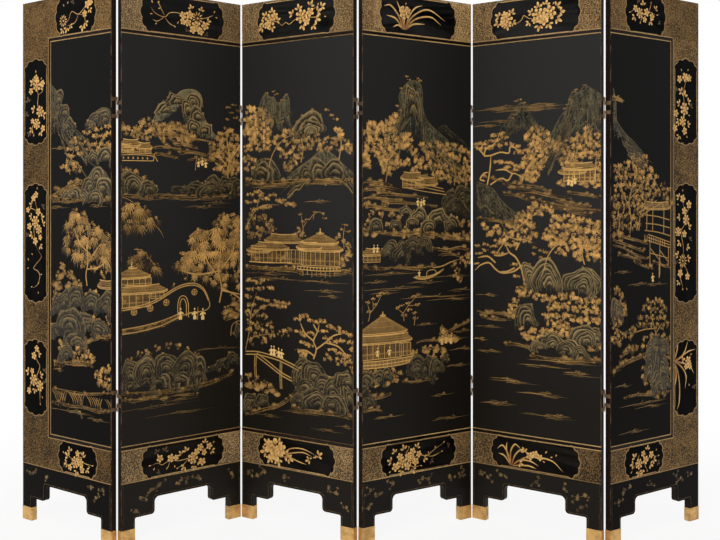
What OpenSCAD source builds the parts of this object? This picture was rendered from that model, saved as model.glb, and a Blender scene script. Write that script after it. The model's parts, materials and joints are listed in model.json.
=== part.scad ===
// Six-leaf folding screen in black and gilt lacquer, standing in a zigzag.
// Millimetres. X runs along the screen, Y away from the side that carries the picture, Z up.
// The origin is at floor level, in the middle of the screen's plan.
// A leaf is drawn flat in its own frame (x along its width, y from its front face to its
// back face, z up from the floor) and is then turned into its place in the zigzag.

/* [Leaf] */
// Height from the floor to the top edge
height = 2134; // [1500:1:2450]
// Width of one leaf
leaf_w = 562; // [400:1:700]
// Thickness of a leaf over both lacquered faces
leaf_t = 25; // [22:0.5:32]
// Thickness of the ground and lacquer on each face
coat_t = 2; // [1:0.5:3]
// Chamfer along the outer arrises of the lacquer
arris = 0.8; // [0.3:0.1:1.5]

/* [Fold] */
// Angle of leaf 1 to the line of the screen, in degrees
fold_1 = 38.6; // [5:0.1:50]
// Angle of leaf 2
fold_2 = 40.9; // [5:0.1:50]
// Angle of leaf 3
fold_3 = 35.9; // [5:0.1:50]
// Angle of leaf 4
fold_4 = 34.4; // [5:0.1:50]
// Angle of leaf 5
fold_5 = 38.2; // [5:0.1:50]
// Angle of leaf 6
fold_6 = 36.0; // [5:0.1:50]

/* [Frame] */
// Height of the top rail
top_rail_h = 70; // [50:1:120]
// Height of the bottom rail
bottom_rail_h = 70; // [50:1:120]
// Underside of the bottom rail above the floor
bottom_rail_z = 190; // [185:1:260]
// Length of the rail tenons
tenon_l = 36; // [20:1:45]
// Thickness of the rail tenons and of the board's tongue
tenon_t = 8; // [6:0.5:10]
// Depth of the groove that holds the board and the apron
tongue = 9; // [5:0.5:12]

/* [Apron] */
// Width of a foot
foot_w = 60; // [45:1:80]
// Height of the open space beside the foot
step_z = 96; // [80:1:110]
// Distance from the leaf's edge to the side of the middle cut-out
step_x = 148; // [110:1:180]
// Height of the middle cut-out
cut_z = 161; // [140:1:175]
// Round of the corner between the foot and the step
foot_r = 7; // [3:0.5:12]
// Round of the step's outer corner
step_r = 15; // [5:0.5:18]
// Round of the upper corners of the cut-out
cut_r = 20; // [8:0.5:30]

/* [Sabots] */
// Height of the brass sabot
sabot_h = 55; // [35:1:70]
// Thickness of the brass sheet
sheet = 1; // [0.8:0.1:1.2]
// Round of the sabot's bottom edges
sole_r = 4; // [2:0.5:6]
// Round of the sabot's upright edges
sabot_r = 1.5; // [0.5:0.1:2]
// Distance of the nail from the leaf's edge
nail_x = 22; // [12:1:40]
// Height of the nail above the floor
nail_z = 27; // [15:1:45]

/* [Hinges] */
// Gap between two leaves when they are open in line
seam = 4.6; // [4.4:0.1:12]
// Distance of the hinge axis outside the leaves' faces
axis_out = 1.8; // [1.8:0.1:4]
// Height of the upper hinge's middle
hinge_top_z = 1673; // [1200:1:1800]
// Height of the lower hinge's middle
hinge_low_z = 550; // [350:1:700]
// Height of one hinge eye
eye_h = 14; // [10:0.5:20]
// Outer radius of an eye
eye_r = 2.6; // [2.4:0.05:2.6]
// Length of bare pin between the two pairs of eyes
pair_gap = 22; // [10:1:40]
// Radius of the drop pin
pin_r = 1.4; // [1.2:0.05:1.45]
// Length of the pin's bent top
tail_l = 15; // [8:1:20]

/* [Hidden] */
$fn = 48;
leaves = 6;
folds = [fold_1, fold_2, fold_3, fold_4, fold_5, fold_6];
core_t = leaf_t - 2 * coat_t;
pin_play = 0.06;     // radial room of the pin in its eyes
eye_play = 0.6;      // height between eyes of two leaves
plate_in = 1.2;      // depth of a hinge plate in the leaf's edge
plate_out = 0.4;     // how far it stands out of the edge
screw_r = 1.5;
screw_l = 18;
screw_head_r = 3;
screw_head_h = 1.5;
screw_rows = [9, 19]; // distances of the screws from the hinge axis, across the edge
nail_r = 0.8;
nail_l = 14;
nail_head_r = 2;
nail_head_h = 0.5;
pin_end = 4;         // length of the pin below the lowest eye
bend_lift = 0.2;     // the bend starts this far inside the top eye
slack = 1;           // how far a cutter runs past the face it opens
eye_span = pair_gap / 2 + 2 * eye_h + eye_play;
hinge_heights = [hinge_low_z, hinge_top_z];

// Odd leaves come forward to the right, even leaves go back.
function turn(i) = (i % 2 == 1 ? -1 : 1) * folds[i - 1];
function along(i) = [cos(turn(i)), sin(turn(i))];
function across(i) = [-sin(turn(i)), cos(turn(i))];
// The seams at the near side fold back to back, so their axis lies behind the leaves.
function is_near(s) = s % 2 == 1;
function axis_y(s) = is_near(s) ? leaf_t + axis_out : -axis_out;
// Plan of the front left corner of leaf i, counted from that of leaf 1
function corner(i) = i == 1 ? [0, 0]
    : axis_at(i - 1) + seam / 2 * along(i) - axis_y(i - 1) * across(i);
function axis_at(s) = corner(s) + (leaf_w + seam / 2) * along(s) + axis_y(s) * across(s);
// The sabots are the outermost pieces, and their upright edges are round.
function sabot_corners(i) = [for (x = [sabot_r - sheet, leaf_w + sheet - sabot_r],
    y = [sabot_r - sheet, leaf_t + sheet - sabot_r]) corner(i) + x * along(i) + y * across(i)];
all_corners = [for (i = [1:leaves], p = sabot_corners(i)) p];
middle = [for (k = [0, 1]) (min([for (p = all_corners) p[k]]) + max([for (p = all_corners) p[k]])) / 2];

LEAF_PARTS = ["stiles", "rails", "board", "apron", "front_lacquer", "back_lacquer",
    "sabots", "hinge_eyes", "nails_and_screws"];

// ---- placing ----

module in_place(i) {
    p = corner(i) - middle;
    translate([p[0], p[1], 0]) rotate([0, 0, turn(i)]) children();
}

// Stands a drawing of the leaf's face (x, z) up as a sheet from y0 to y0 + t.
module upright(y0, t) {
    translate([0, y0 + t, 0]) rotate([90, 0, 0]) linear_extrude(t) children();
}

// Repeats a piece of the leaf's left half on the right.
module both_sides() {
    children();
    translate([leaf_w, 0, 0]) mirror([1, 0, 0]) children();
}

// Takes a piece from a hinge's own frame to an edge of a leaf. In that frame the axis is
// the z axis, the leaf's edge faces +x and the face it folds on looks towards +y.
module at_hinge(s, right_edge) {
    x = right_edge ? leaf_w + seam / 2 : -seam / 2;
    for (z = hinge_heights) translate([x, axis_y(s), z])
        mirror([right_edge ? 0 : 1, 0, 0]) mirror([0, is_near(s) ? 0 : 1, 0]) children();
}

// The hinges of leaf i: its right edge holds those of seam i, its left those of seam i - 1.
module at_hinges(i) {
    if (i < leaves) at_hinge(i, true) children(0);
    if (i > 1) at_hinge(i - 1, false) children(1);
}

// ---- outline of the foot ----

module round_top(w, h, r) {
    square([w, h - r]);
    translate([r, 0]) square([w - 2 * r, h]);
    for (x = [r, w - r]) translate([x, h - r]) circle(r);
}

// The open space under the stepped apron, between the feet
module under_apron() {
    translate([foot_w, -slack]) round_top(leaf_w - 2 * foot_w, step_z + slack, foot_r);
    translate([step_x, -slack]) round_top(leaf_w - 2 * step_x, cut_z + slack, cut_r);
    for (side = [0, 1]) translate([side * leaf_w, 0]) mirror([side, 0])
        difference() {
            translate([step_x - step_r, step_z - slack]) square([step_r + slack, step_r + slack]);
            translate([step_x - step_r, step_z + step_r]) circle(step_r);
        }
}

module face_outline() {
    difference() {
        translate([0, sheet]) square([leaf_w, height - sheet]);
        under_apron();
    }
}

// ---- hinge ----

// Heights of the undersides of a leaf's two eyes: the left leaf of a seam has the outer eyes.
function eye_levels(left_leaf) = left_leaf
    ? [pair_gap / 2 + eye_h + eye_play, -eye_span]
    : [pair_gap / 2, -pair_gap / 2 - eye_h];

module plate_outline() {
    translate([-seam / 2 - plate_in, coat_t - leaf_t - axis_out])
        square([plate_in + plate_out, leaf_t + axis_out - coat_t]);
}

module screw_shape() {
    rotate([0, 90, 0]) {
        cylinder(r = screw_r, h = screw_l - screw_r);
        translate([0, 0, screw_l - screw_r]) cylinder(r1 = screw_r, r2 = 0.2, h = screw_r);
        cylinder(r1 = screw_head_r, r2 = screw_r, h = screw_head_h);
    }
}

// A screw enters the edge from +x, with its head flush with the plate.
module at_screws(left_leaf) {
    for (z = eye_levels(left_leaf), y = screw_rows)
        translate([-seam / 2 + plate_out, -y, z + eye_h / 2]) mirror([1, 0, 0]) children();
}

module eyes(left_leaf) {
    difference() {
        for (z = eye_levels(left_leaf)) translate([0, 0, z]) linear_extrude(eye_h)
            difference() {
                union() {
                    plate_outline();
                    translate([-seam / 2, -eye_r]) square([seam / 2, eye_r]);
                    circle(eye_r);
                }
                circle(pin_r + pin_play);
            }
        at_screws(left_leaf) screw_shape();
    }
}

// What the plates and screws take out of the leaf's edge
module eye_pockets(left_leaf) {
    for (z = eye_levels(left_leaf)) translate([0, 0, z]) linear_extrude(eye_h) plate_outline();
    at_screws(left_leaf) screw_shape();
}

module screw() {
    difference() {
        screw_shape();
        translate([-slack, -0.4, -screw_head_r]) cube([slack + 0.5, 0.8, 2 * screw_head_r]);
    }
}

// The bent top rests on the upper eye. Behind a near seam it lies along the back of the
// leaf; at a far seam it turns back into the gap between the leaves.
module drop_pin(s) {
    bend_r = pin_r + bend_lift;
    translate([0, 0, -eye_span - pin_end]) {
        cylinder(r1 = pin_r * 0.6, r2 = pin_r, h = 1);
        translate([0, 0, 1]) cylinder(r = pin_r, h = 2 * eye_span + pin_end - 1 - bend_lift);
    }
    translate([0, 0, eye_span - bend_lift]) rotate([0, 0, is_near(s) ? 180 : -90]) {
        translate([bend_r, 0, 0]) rotate([90, 0, 0]) rotate([0, 0, 90])
            rotate_extrude(angle = 90) translate([bend_r, 0]) circle(pin_r);
        translate([bend_r, 0, bend_r]) rotate([0, 90, 0]) {
            cylinder(r = pin_r, h = tail_l - bend_r - 1);
            translate([0, 0, tail_l - bend_r - 1]) cylinder(r1 = pin_r, r2 = pin_r * 0.6, h = 1);
        }
    }
}

// ---- nails ----

module nail() {
    cap_r = (nail_head_r * nail_head_r + nail_head_h * nail_head_h) / (2 * nail_head_h);
    intersection() {
        translate([0, 0, nail_head_h - cap_r]) sphere(cap_r);
        cylinder(r = nail_head_r, h = nail_head_h);
    }
    nail_shank();
}

module nail_shank() {
    translate([0, 0, -nail_l]) cylinder(r = nail_r, h = nail_l + 0.01);
}

// One nail in the front and one in the back of each sabot
module at_nails() {
    both_sides() {
        translate([nail_x, -sheet, nail_z]) rotate([90, 0, 0]) children();
        translate([nail_x, leaf_t + sheet, nail_z]) rotate([-90, 0, 0]) children();
    }
}

// ---- pieces of a leaf ----

// The holes and pockets that fixings and hinges need in the wood and the lacquer
module fixings_cut(i) {
    at_hinges(i) {
        eye_pockets(true);
        eye_pockets(false);
    }
    at_nails() nail_shank();
}

// A stile runs from the sabot to the top edge. Its lower end is the foot.
module stiles(i) {
    color("#2a1d14") difference() {
        both_sides() difference() {
            translate([0, coat_t, sheet]) cube([foot_w, core_t, height - sheet]);
            // groove for the board and the apron, open into the mortise of the top rail
            translate([foot_w - tongue, (leaf_t - tenon_t) / 2, step_z])
                cube([tongue + slack, tenon_t, height - step_z - top_rail_h + tongue]);
            // mortises for the rails
            for (z = [bottom_rail_z, height - top_rail_h])
                translate([foot_w - tenon_l, (leaf_t - tenon_t) / 2, z + tongue])
                    cube([tenon_l + slack, tenon_t, top_rail_h - 2 * tongue]);
        }
        fixings_cut(i);
    }
}

module rail(z, h, grooves) {
    difference() {
        union() {
            translate([foot_w, coat_t, z]) cube([leaf_w - 2 * foot_w, core_t, h]);
            translate([foot_w - tenon_l, (leaf_t - tenon_t) / 2, z + tongue])
                cube([leaf_w - 2 * (foot_w - tenon_l), tenon_t, h - 2 * tongue]);
        }
        for (g = grooves) translate([foot_w - slack, (leaf_t - tenon_t) / 2, g])
            cube([leaf_w - 2 * (foot_w - slack), tenon_t, tongue]);
    }
}

module rails() {
    color("#33241a") {
        rail(bottom_rail_z, bottom_rail_h, [bottom_rail_z, bottom_rail_z + bottom_rail_h - tongue]);
        rail(height - top_rail_h, top_rail_h, [height - top_rail_h]);
    }
}

// The board is flush with the frame on both faces and has a tongue all round.
module board() {
    z0 = bottom_rail_z + bottom_rail_h;
    h = height - top_rail_h - z0;
    color("#5d452f") {
        translate([foot_w, coat_t, z0]) cube([leaf_w - 2 * foot_w, core_t, h]);
        translate([foot_w - tongue, (leaf_t - tenon_t) / 2, z0 - tongue])
            cube([leaf_w - 2 * (foot_w - tongue), tenon_t, h + 2 * tongue]);
    }
}

// The apron hangs in the grooves of the stiles and the bottom rail.
module apron() {
    color("#3a2a1e") {
        upright(coat_t, core_t) difference() {
            translate([foot_w, 0]) square([leaf_w - 2 * foot_w, bottom_rail_z]);
            under_apron();
        }
        upright((leaf_t - tenon_t) / 2, tenon_t) difference() {
            translate([foot_w - tongue, step_z])
                square([leaf_w - 2 * (foot_w - tongue), bottom_rail_z + tongue - step_z]);
            under_apron();
        }
    }
}

module lacquer(i, y0, face) {
    color("#17130f") difference() {
        upright(y0, coat_t) face_outline();
        for (x = [0, leaf_w]) translate([x, face, height / 2]) rotate([0, 0, 45])
            cube([arris * sqrt(2), arris * sqrt(2), height + slack], center = true);
        translate([leaf_w / 2, face, height]) rotate([45, 0, 0])
            cube([leaf_w + slack, arris * sqrt(2), arris * sqrt(2)], center = true);
        fixings_cut(i);
    }
}

module front_lacquer(i) { lacquer(i, 0, 0); }

module back_lacquer(i) { lacquer(i, leaf_t - coat_t, leaf_t); }

// A bent brass shoe with a closed sole, rounded where it meets the floor
module sabots() {
    w = foot_w + 2 * sheet;
    d = leaf_t + 2 * sheet;
    color("#b88a48") difference() {
        both_sides() difference() {
            translate([-sheet, -sheet, 0]) intersection() {
                translate([0, d, 0]) rotate([90, 0, 0]) linear_extrude(d)
                    translate([0, sabot_h]) mirror([0, 1]) round_top(w, sabot_h, sole_r);
                rotate([90, 0, 90]) linear_extrude(w)
                    translate([0, sabot_h]) mirror([0, 1]) round_top(d, sabot_h, sole_r * 0.75);
                linear_extrude(sabot_h) round_all(w, d, sabot_r);
            }
            translate([0, 0, sheet]) cube([foot_w, leaf_t, sabot_h]);
        }
        at_nails() nail_shank();
    }
}

module round_all(w, d, r) {
    translate([r, 0]) square([w - 2 * r, d]);
    translate([0, r]) square([w, d - 2 * r]);
    for (x = [r, w - r], y = [r, d - r]) translate([x, y]) circle(r);
}

module hinge_eyes(i) {
    color("#a87f45") at_hinges(i) {
        eyes(true);
        eyes(false);
    }
}

module nails_and_screws(i) {
    color("#8f6c3a") {
        at_nails() nail();
        at_hinges(i) {
            at_screws(true) screw();
            at_screws(false) screw();
        }
    }
}

// ---- the screen ----

for (i = [1:leaves]) {
    in_place(i) stiles(i);
    in_place(i) rails();
    in_place(i) board();
    in_place(i) apron();
    in_place(i) front_lacquer(i);
    in_place(i) back_lacquer(i);
    in_place(i) sabots();
    in_place(i) hinge_eyes(i);
    in_place(i) nails_and_screws(i);
}
for (s = [1:leaves - 1])
    in_place(s) at_hinge(s, true) drop_pin(s);
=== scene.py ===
# Six-leaf folding screen in black lacquer, with a gilt river landscape running over its leaves,
# a border of gold scroll ground with lobed reserves, stepped aprons and brass sabots.
import json
import math
import random

import bmesh
import bpy
from mathutils import Matrix, Vector


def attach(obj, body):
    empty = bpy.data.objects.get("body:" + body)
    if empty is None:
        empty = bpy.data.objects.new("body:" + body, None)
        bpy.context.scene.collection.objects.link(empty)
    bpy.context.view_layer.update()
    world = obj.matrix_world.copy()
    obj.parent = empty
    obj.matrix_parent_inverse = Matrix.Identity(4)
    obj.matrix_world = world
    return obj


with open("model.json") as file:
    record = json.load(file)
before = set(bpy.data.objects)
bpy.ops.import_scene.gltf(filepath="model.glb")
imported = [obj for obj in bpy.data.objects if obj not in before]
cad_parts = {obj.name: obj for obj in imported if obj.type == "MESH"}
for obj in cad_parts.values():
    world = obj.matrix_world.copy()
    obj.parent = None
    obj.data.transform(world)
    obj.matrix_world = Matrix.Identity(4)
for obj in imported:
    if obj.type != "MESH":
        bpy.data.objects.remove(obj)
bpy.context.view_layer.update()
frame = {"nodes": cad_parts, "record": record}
bpy.context.scene.view_settings.view_transform = "Standard"


# ---- Camera ----
# The picture was taken level, from 1.3 m above the floor and 4.1 m in front of the screen, a
# little left of its middle. The lens is shifted, not turned, so the leaf edges stay upright.

picture_w = 720
picture_h = 540
focal_length_px = 1032
axis_px = (325.4, 204.9)

camera = bpy.data.objects.new("camera", bpy.data.cameras.new("camera"))
camera.location = (-0.1443, -4.127, 1.3004)
camera.rotation_euler = (math.radians(90), 0, 0)
camera.data.sensor_width = 36
camera.data.lens = focal_length_px / picture_w * camera.data.sensor_width
camera.data.shift_x = (picture_w / 2 - axis_px[0]) / picture_w
camera.data.shift_y = (axis_px[1] - picture_h / 2) / picture_w
bpy.context.scene.collection.objects.link(camera)
bpy.context.scene.camera = camera


# ---- Room ----
# A pale studio floor that runs into a white background, a large soft lamp from the front
# left and even light from the room. Only the floor near the screen takes its shadow.

def tone(red, green, blue):
    """A colour as the eye sees it, 0 to 255, as the renderer's linear values."""
    linear = [((c / 255 + 0.055) / 1.055) ** 2.4 if c > 10 else c / 255 / 12.92
              for c in (red, green, blue)]
    return (*linear, 1)


class Socket:
    """An output of a shader node. Arithmetic on it adds Math nodes."""

    def __init__(self, tree, output=None):
        self.tree = tree
        self.output = output

    def node(self, kind, settings=None, sockets=None, output=0):
        """Adds a node, gives it its settings and then its sockets' values or links."""
        made = self.tree.nodes.new("ShaderNode" + kind)
        for name, value in (settings or {}).items():
            setattr(made, name, value)
        for key, value in (sockets or {}).items():
            if isinstance(value, Socket):
                self.tree.links.new(value.output, made.inputs[key])
            else:
                made.inputs[key].default_value = value
        return Socket(self.tree, made.outputs[output] if made.outputs else None)

    def maths(self, operation, *values):
        """A Math node on these values, or on this one alone."""
        return self.node("Math", {"operation": operation}, dict(enumerate(values or (self,))))

    def __add__(self, other):
        return self.maths("ADD", self, other)

    __radd__ = __add__

    def __sub__(self, other):
        return self.maths("SUBTRACT", self, other)

    def __rsub__(self, other):
        return self.maths("SUBTRACT", other, self)

    def __mul__(self, other):
        return self.maths("MULTIPLY", self, other)

    __rmul__ = __mul__

    def axis(self, letter):
        """One coordinate of this place."""
        return self.node("SeparateXYZ", {}, {0: self}, letter)

    def clamp(self):
        return self.node("Clamp", {}, {0: self, 1: 0, 2: 1})

    def fade(self, low, high):
        """0 at low, 1 at high, smooth between."""
        return self.node("MapRange", {"interpolation_type": "SMOOTHSTEP"},
                         {0: self, 1: low, 2: high, 3: 0, 4: 1})

    def mix(self, color_0, color_1):
        """Runs from one colour to the other as this value goes from 0 to 1."""
        return self.node("Mix", {"data_type": "RGBA"}, {0: self, 6: color_0, 7: color_1}, 2)

    def noise(self, scale, detail=2, roughness=0.5, distortion=0):
        """Noise at this place, about 0.25 to 0.75."""
        return self.node("TexNoise", {}, {"Vector": self, "Scale": scale, "Detail": detail,
                                          "Roughness": roughness, "Distortion": distortion})

    def stretched(self, x, y, z):
        """This place with its axes multiplied, to draw a pattern out."""
        return self.node("VectorMath", {"operation": "MULTIPLY"}, {0: self, 1: (x, y, z)})


def start_material(name):
    """A new material and the place of each point on the object, in metres."""
    material = bpy.data.materials.new(name)
    material.use_nodes = True
    material.node_tree.nodes.clear()
    return material, Socket(material.node_tree).node("TexCoord", output="Object")


def coat(place, sockets, height=None, depth=0.0002):
    """Ends a material: one shader with these sockets, and a bump of this height and depth."""
    if height is not None:
        sockets["Normal"] = place.node("Bump", {}, {"Distance": depth, "Height": height})
    shader = place.node("BsdfPrincipled", {}, sockets)
    place.node("OutputMaterial", {}, {"Surface": shader})


def seen_rays(place):
    """1 for the rays on which a background shows: camera, mirror and glass rays."""
    camera_ray = place.node("LightPath", output="Is Camera Ray")
    glossy_ray = place.node("LightPath", output="Is Glossy Ray")
    through_ray = place.node("LightPath", output="Is Transmission Ray")
    return (camera_ray + glossy_ray + through_ray).clamp()


room_light = 0.62
world = bpy.data.worlds.new("studio")
bpy.context.scene.world = world
world.use_nodes = True
world.node_tree.nodes.clear()
room = Socket(world.node_tree)
white_room = room.node("Background", {}, {"Color": (1, 1, 1, 1), "Strength": 1})
dim_room = room.node("Background", {}, {"Color": tone(250, 249, 247), "Strength": room_light})
shown_room = room.node("MixShader", {}, {0: seen_rays(room), 1: dim_room, 2: white_room})
room.node("OutputWorld", {}, {"Surface": shown_room})

floor_size = 40
floor_material, place = start_material("studio_floor")
middle_distance = place.node("VectorMath", {"operation": "LENGTH"},
                             {0: place.stretched(0.5, 1, 1)}, "Value")
far_off = middle_distance.fade(0.5, 2.4)
matt_floor = place.node("BsdfDiffuse", {}, {"Color": tone(248, 247, 246)})
white_floor = place.node("Emission", {}, {"Color": (1, 1, 1, 1), "Strength": 1})
pale_share = (far_off * 0.12 + 0.88) * seen_rays(place)
shown_floor = place.node("MixShader", {}, {0: pale_share, 1: matt_floor, 2: white_floor})
place.node("OutputMaterial", {}, {"Surface": shown_floor})

floor_shape = bmesh.new()
bmesh.ops.create_grid(floor_shape, x_segments=8, y_segments=8, size=floor_size / 2)
floor_mesh = bpy.data.meshes.new("studio_floor")
floor_shape.to_mesh(floor_mesh)
floor_shape.free()
floor_mesh.materials.append(floor_material)
floor = bpy.data.objects.new("studio_floor", floor_mesh)
bpy.context.scene.collection.objects.link(floor)

lamp = bpy.data.objects.new("soft_lamp", bpy.data.lights.new("soft_lamp", "AREA"))
lamp.data.energy = 105
lamp.data.size = 2.6
lamp.location = (-2.6, -4.6, 3.4)
lamp.rotation_euler = (Vector((0, 0, 1.1)) - lamp.location).to_track_quat("-Z", "Y").to_euler()
bpy.context.scene.collection.objects.link(lamp)


# ---- Leaves ----
# Each leaf is a flat panel on two feet. What is painted on it is laid out in its own frame:
# x in millimetres from its left edge, y up from the floor, z out of the lacquered face.

mm = 0.001
leaf_h = 2134
leaf_t = 25
foot_middle = 30
mounts = {mount["name"]: Vector(mount["pos_m"]) for mount in frame["record"]["mounts"]}


class Leaf:
    """Where a leaf stands, and the painted work on its front, one bmesh for each kind."""

    def __init__(self, number):
        self.number = number
        self.body = f"leaf_{number}"
        left = mounts[f"leaf_{number}_left_sole"]
        right = mounts[f"leaf_{number}_right_sole"]
        along = (right - left).normalized()
        out = Vector((along.y, -along.x, 0))
        self.width = (right - left).length / mm + 2 * foot_middle
        self.turn = math.atan2(along.y, along.x)
        self.corner = left - along * foot_middle * mm + out * leaf_t / 2 * mm
        self.face = Matrix.Translation(self.corner) @ Matrix((
            (along.x, 0, out.x, 0), (along.y, 0, out.y, 0), (0, 1, 0, 0), (0, 0, 0, 1)))
        self.face = self.face @ Matrix.Scale(mm, 4)
        self.work = {}
        self.lift = 0
        self.heap = 0


leaves = {number: Leaf(number) for number in range(1, 7)}


def add_piece(shape, name, material, leaf):
    """Ends a bmesh drawn in a leaf's frame: its place goes into the mesh, and it rides the leaf."""
    shape.transform(leaf.face)
    mesh = bpy.data.meshes.new(name)
    shape.to_mesh(mesh)
    shape.free()
    mesh.materials.append(material)
    piece = bpy.data.objects.new(name, mesh)
    bpy.context.scene.collection.objects.link(piece)
    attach(piece, leaf.body)
    return piece


# ---- Frames and boards ----
# Each leaf has a softwood core board in a frame of two stiles and two rails, with a stepped
# apron. Only the edges of the frame show: they carry thin black lacquer, rubbed through to a
# reddish brown along the arrises, which also stands in for their painted highlight.

edge_black = tone(11, 9, 8)
# Reddish brown of the rubbed arrises: partly wear, partly a painted highlight.
edge_rubbed_and_highlit = tone(66, 42, 28)
edge_material, place = start_material("lacquered_edges")
worn_patch = place.noise(9, 3, 0.6).fade(0.5, 0.72)
worn_spot = place.noise(160, 3, 0.65).fade(0.52, 0.62)
# Convex arrises are rubbed to reddish brown, partly as a painted highlight along them.
pointiness = place.node("NewGeometry", output="Pointiness").fade(0.5, 0.56)
rubbed = (worn_patch * 0.2 + pointiness * 0.5) * (worn_spot * 0.7 + 0.3)
grain = place.stretched(1, 1, 0.06).noise(420, 2, 0.6)
coat(place, {"Base Color": rubbed.clamp().mix(edge_black, edge_rubbed_and_highlit),
             "Roughness": worn_spot * 0.16 + 0.42, "Specular IOR Level": 0.12},
     grain * 0.5 + worn_spot, 0.00008)

core_material, place = start_material("core_softwood")
rings = place.stretched(9, 9, 0.5).noise(6, 4, 0.6, 0.8)
pores = place.stretched(1, 1, 0.05).noise(700, 2, 0.7)
coat(place, {"Base Color": (rings * 0.8 + pores * 0.3).fade(0.3, 0.8).mix(tone(150, 112, 72),
                                                                      tone(112, 78, 47)),
             "Roughness": pores * 0.2 + 0.6}, pores, 0.0001)


def finish(node, material):
    """Gives a solid of the bare screen this material alone."""
    frame["nodes"][node].data.materials.clear()
    frame["nodes"][node].data.materials.append(material)


for leaf in leaves.values():
    for part in ("stiles", "rails", "apron"):
        finish(f"{leaf.body}_{part}", edge_material)
    finish(f"{leaf.body}_board", core_material)


# ---- Lacquered faces ----
# Many thin coats over a ground, polished. The black is lighter and cooler towards the top, and
# lighter on some leaves than on others: painted reflection of the room over a warmer, browner
# black. Faint clouds and rubbing marks, and arrises worn to the reddish under-coat and pale
# ground, which also stand in for the painted highlight along them.

# Painted reflection of the room, leaf by leaf: lighter top tones, leaves 3 and 5 lightest, end leaves
# darkest.
upper_black_and_sheen = {1: 0.0085, 2: 0.0175, 3: 0.0212, 4: 0.0145, 5: 0.0228, 6: 0.0065}
lower_black_and_sheen = {1: 0.0040, 2: 0.0125, 3: 0.0110, 4: 0.0090, 5: 0.0110, 6: 0.0035}
mirror_share = {1: 0.03, 2: 0.08, 3: 0.08, 4: 0.08, 5: 0.08, 6: 0.03}
# The plain back is also painted a little lighter at the top, as painted sheen.
back_upper_black_and_sheen = 0.0125
back_lower_black_and_sheen = 0.0100
back_gloss = 0.4
# Along the arrises, wear to reddish under-coat and pale ground is partly real and partly a painted
# highlight.
worn_highlit_edge_w = 5
pale_highlit_edge_w = 3
under_coat_and_highlight = tone(88, 46, 28)
pale_ground_and_highlight = tone(140, 122, 98)


def leaf_place(place, leaf):
    """A place on the object as millimetres in the leaf's own frame: along, into and up it."""
    return place.node("Mapping", {"vector_type": "TEXTURE"},
                      {"Vector": place, "Location": leaf.corner, "Rotation": (0, 0, leaf.turn),
                       "Scale": (mm, mm, mm)})


def lacquer_finish(name, leaf, upper, lower, gloss=0.36, mirror=0.08):
    """Black lacquer of a leaf's face, from a top tone with painted sheen to a foot tone."""
    material, place = start_material(name)
    on_leaf = leaf_place(place, leaf)
    from_middle = (on_leaf.axis("X") - leaf.width / 2).maths("ABSOLUTE")
    up = on_leaf.axis("Z")
    clouds = on_leaf.noise(0.0042, 3, 0.55)
    # Painted reflection: the black runs from the warmer foot tone up to the lighter, sheen-painted top
    # tone.
    body = (up * 0.001 + clouds * 0.5).fade(0.75, 1.75).mix(
        (lower * 1.08, lower * 0.86, lower * 0.62, 1), (upper, upper * 0.98, upper * 0.93, 1))
    # Near the arrises: chips of reddish under-coat and a pale line at the sides, partly wear and partly
    # painted highlight.
    edge = from_middle.fade(leaf.width / 2 - worn_highlit_edge_w, leaf.width / 2 - 0.5)
    top_edge = up.fade(leaf_h - worn_highlit_edge_w, leaf_h - 0.5)
    chips = on_leaf.noise(0.09, 4, 0.7).fade(0.5, 0.66)
    worn_and_highlit = ((edge + top_edge).clamp() * chips).clamp()
    rubbing = on_leaf.stretched(1, 1, 3).noise(0.03, 5, 0.7)
    dust = on_leaf.noise(0.35, 2, 0.6).fade(0.66, 0.8)
    bare = from_middle.fade(leaf.width / 2 - pale_highlit_edge_w, leaf.width / 2 - 1.6)
    bare = bare * on_leaf.stretched(1, 1, 0.25).noise(0.07, 4, 0.7).fade(0.44, 0.58)
    color = worn_and_highlit.mix((dust * 0.12).mix(body, tone(96, 88, 76)), under_coat_and_highlight)
    color = (bare * 0.4).mix(color, pale_ground_and_highlight)
    roughness = rubbing * 0.16 + (gloss - 0.08) + worn_and_highlit * 0.2
    coat(place, {"Base Color": color, "Roughness": roughness, "Specular IOR Level": mirror},
         rubbing * 0.5 + worn_and_highlit * -0.5, 0.00006)
    return material


front_lacquers = {}
for number, leaf in leaves.items():
    front_lacquers[number] = lacquer_finish(f"picture_lacquer_{number}", leaf,
                                            upper_black_and_sheen[number], lower_black_and_sheen[number],
                                            mirror=mirror_share[number])
    finish(f"{leaf.body}_front_lacquer", front_lacquers[number])
    finish(f"{leaf.body}_back_lacquer",
           lacquer_finish(f"plain_lacquer_{number}", leaf, back_upper_black_and_sheen, back_lower_black_and_sheen,
                          back_gloss))


# ---- Brass ----
# Bent sheet shoes round the feet, nailed front and back, and small hinge plates with eyes and
# drop pins let into the edges. Polished once, now mottled. The hinges are darker and browner:
# aged brass with painted shade of the gaps they sit in.

def brass_finish(name, bright, dull, roughness, metal):
    """Aged brass: bright where hands and cloths reach, dull and spotted elsewhere."""
    material, place = start_material(name)
    mottle = place.noise(26, 4, 0.65, 0.4).fade(0.36, 0.66)
    spots = place.noise(210, 3, 0.6).fade(0.58, 0.7)
    strokes = place.stretched(1, 1, 8).noise(90, 2, 0.7)
    dulled = (mottle * 0.65 + spots * 0.35).clamp()
    coat(place, {"Base Color": dulled.mix(bright, dull), "Metallic": metal - dulled * 0.2,
                 "Roughness": dulled * 0.14 + strokes * 0.1 + (roughness - 0.1),
                 "Specular IOR Level": 0.45}, strokes * 0.6 + spots * -0.4, 0.00012)
    return material


sabot_brass = brass_finish("sabot_brass", tone(226, 180, 108), tone(160, 112, 56), 0.42, 0.45)
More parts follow.
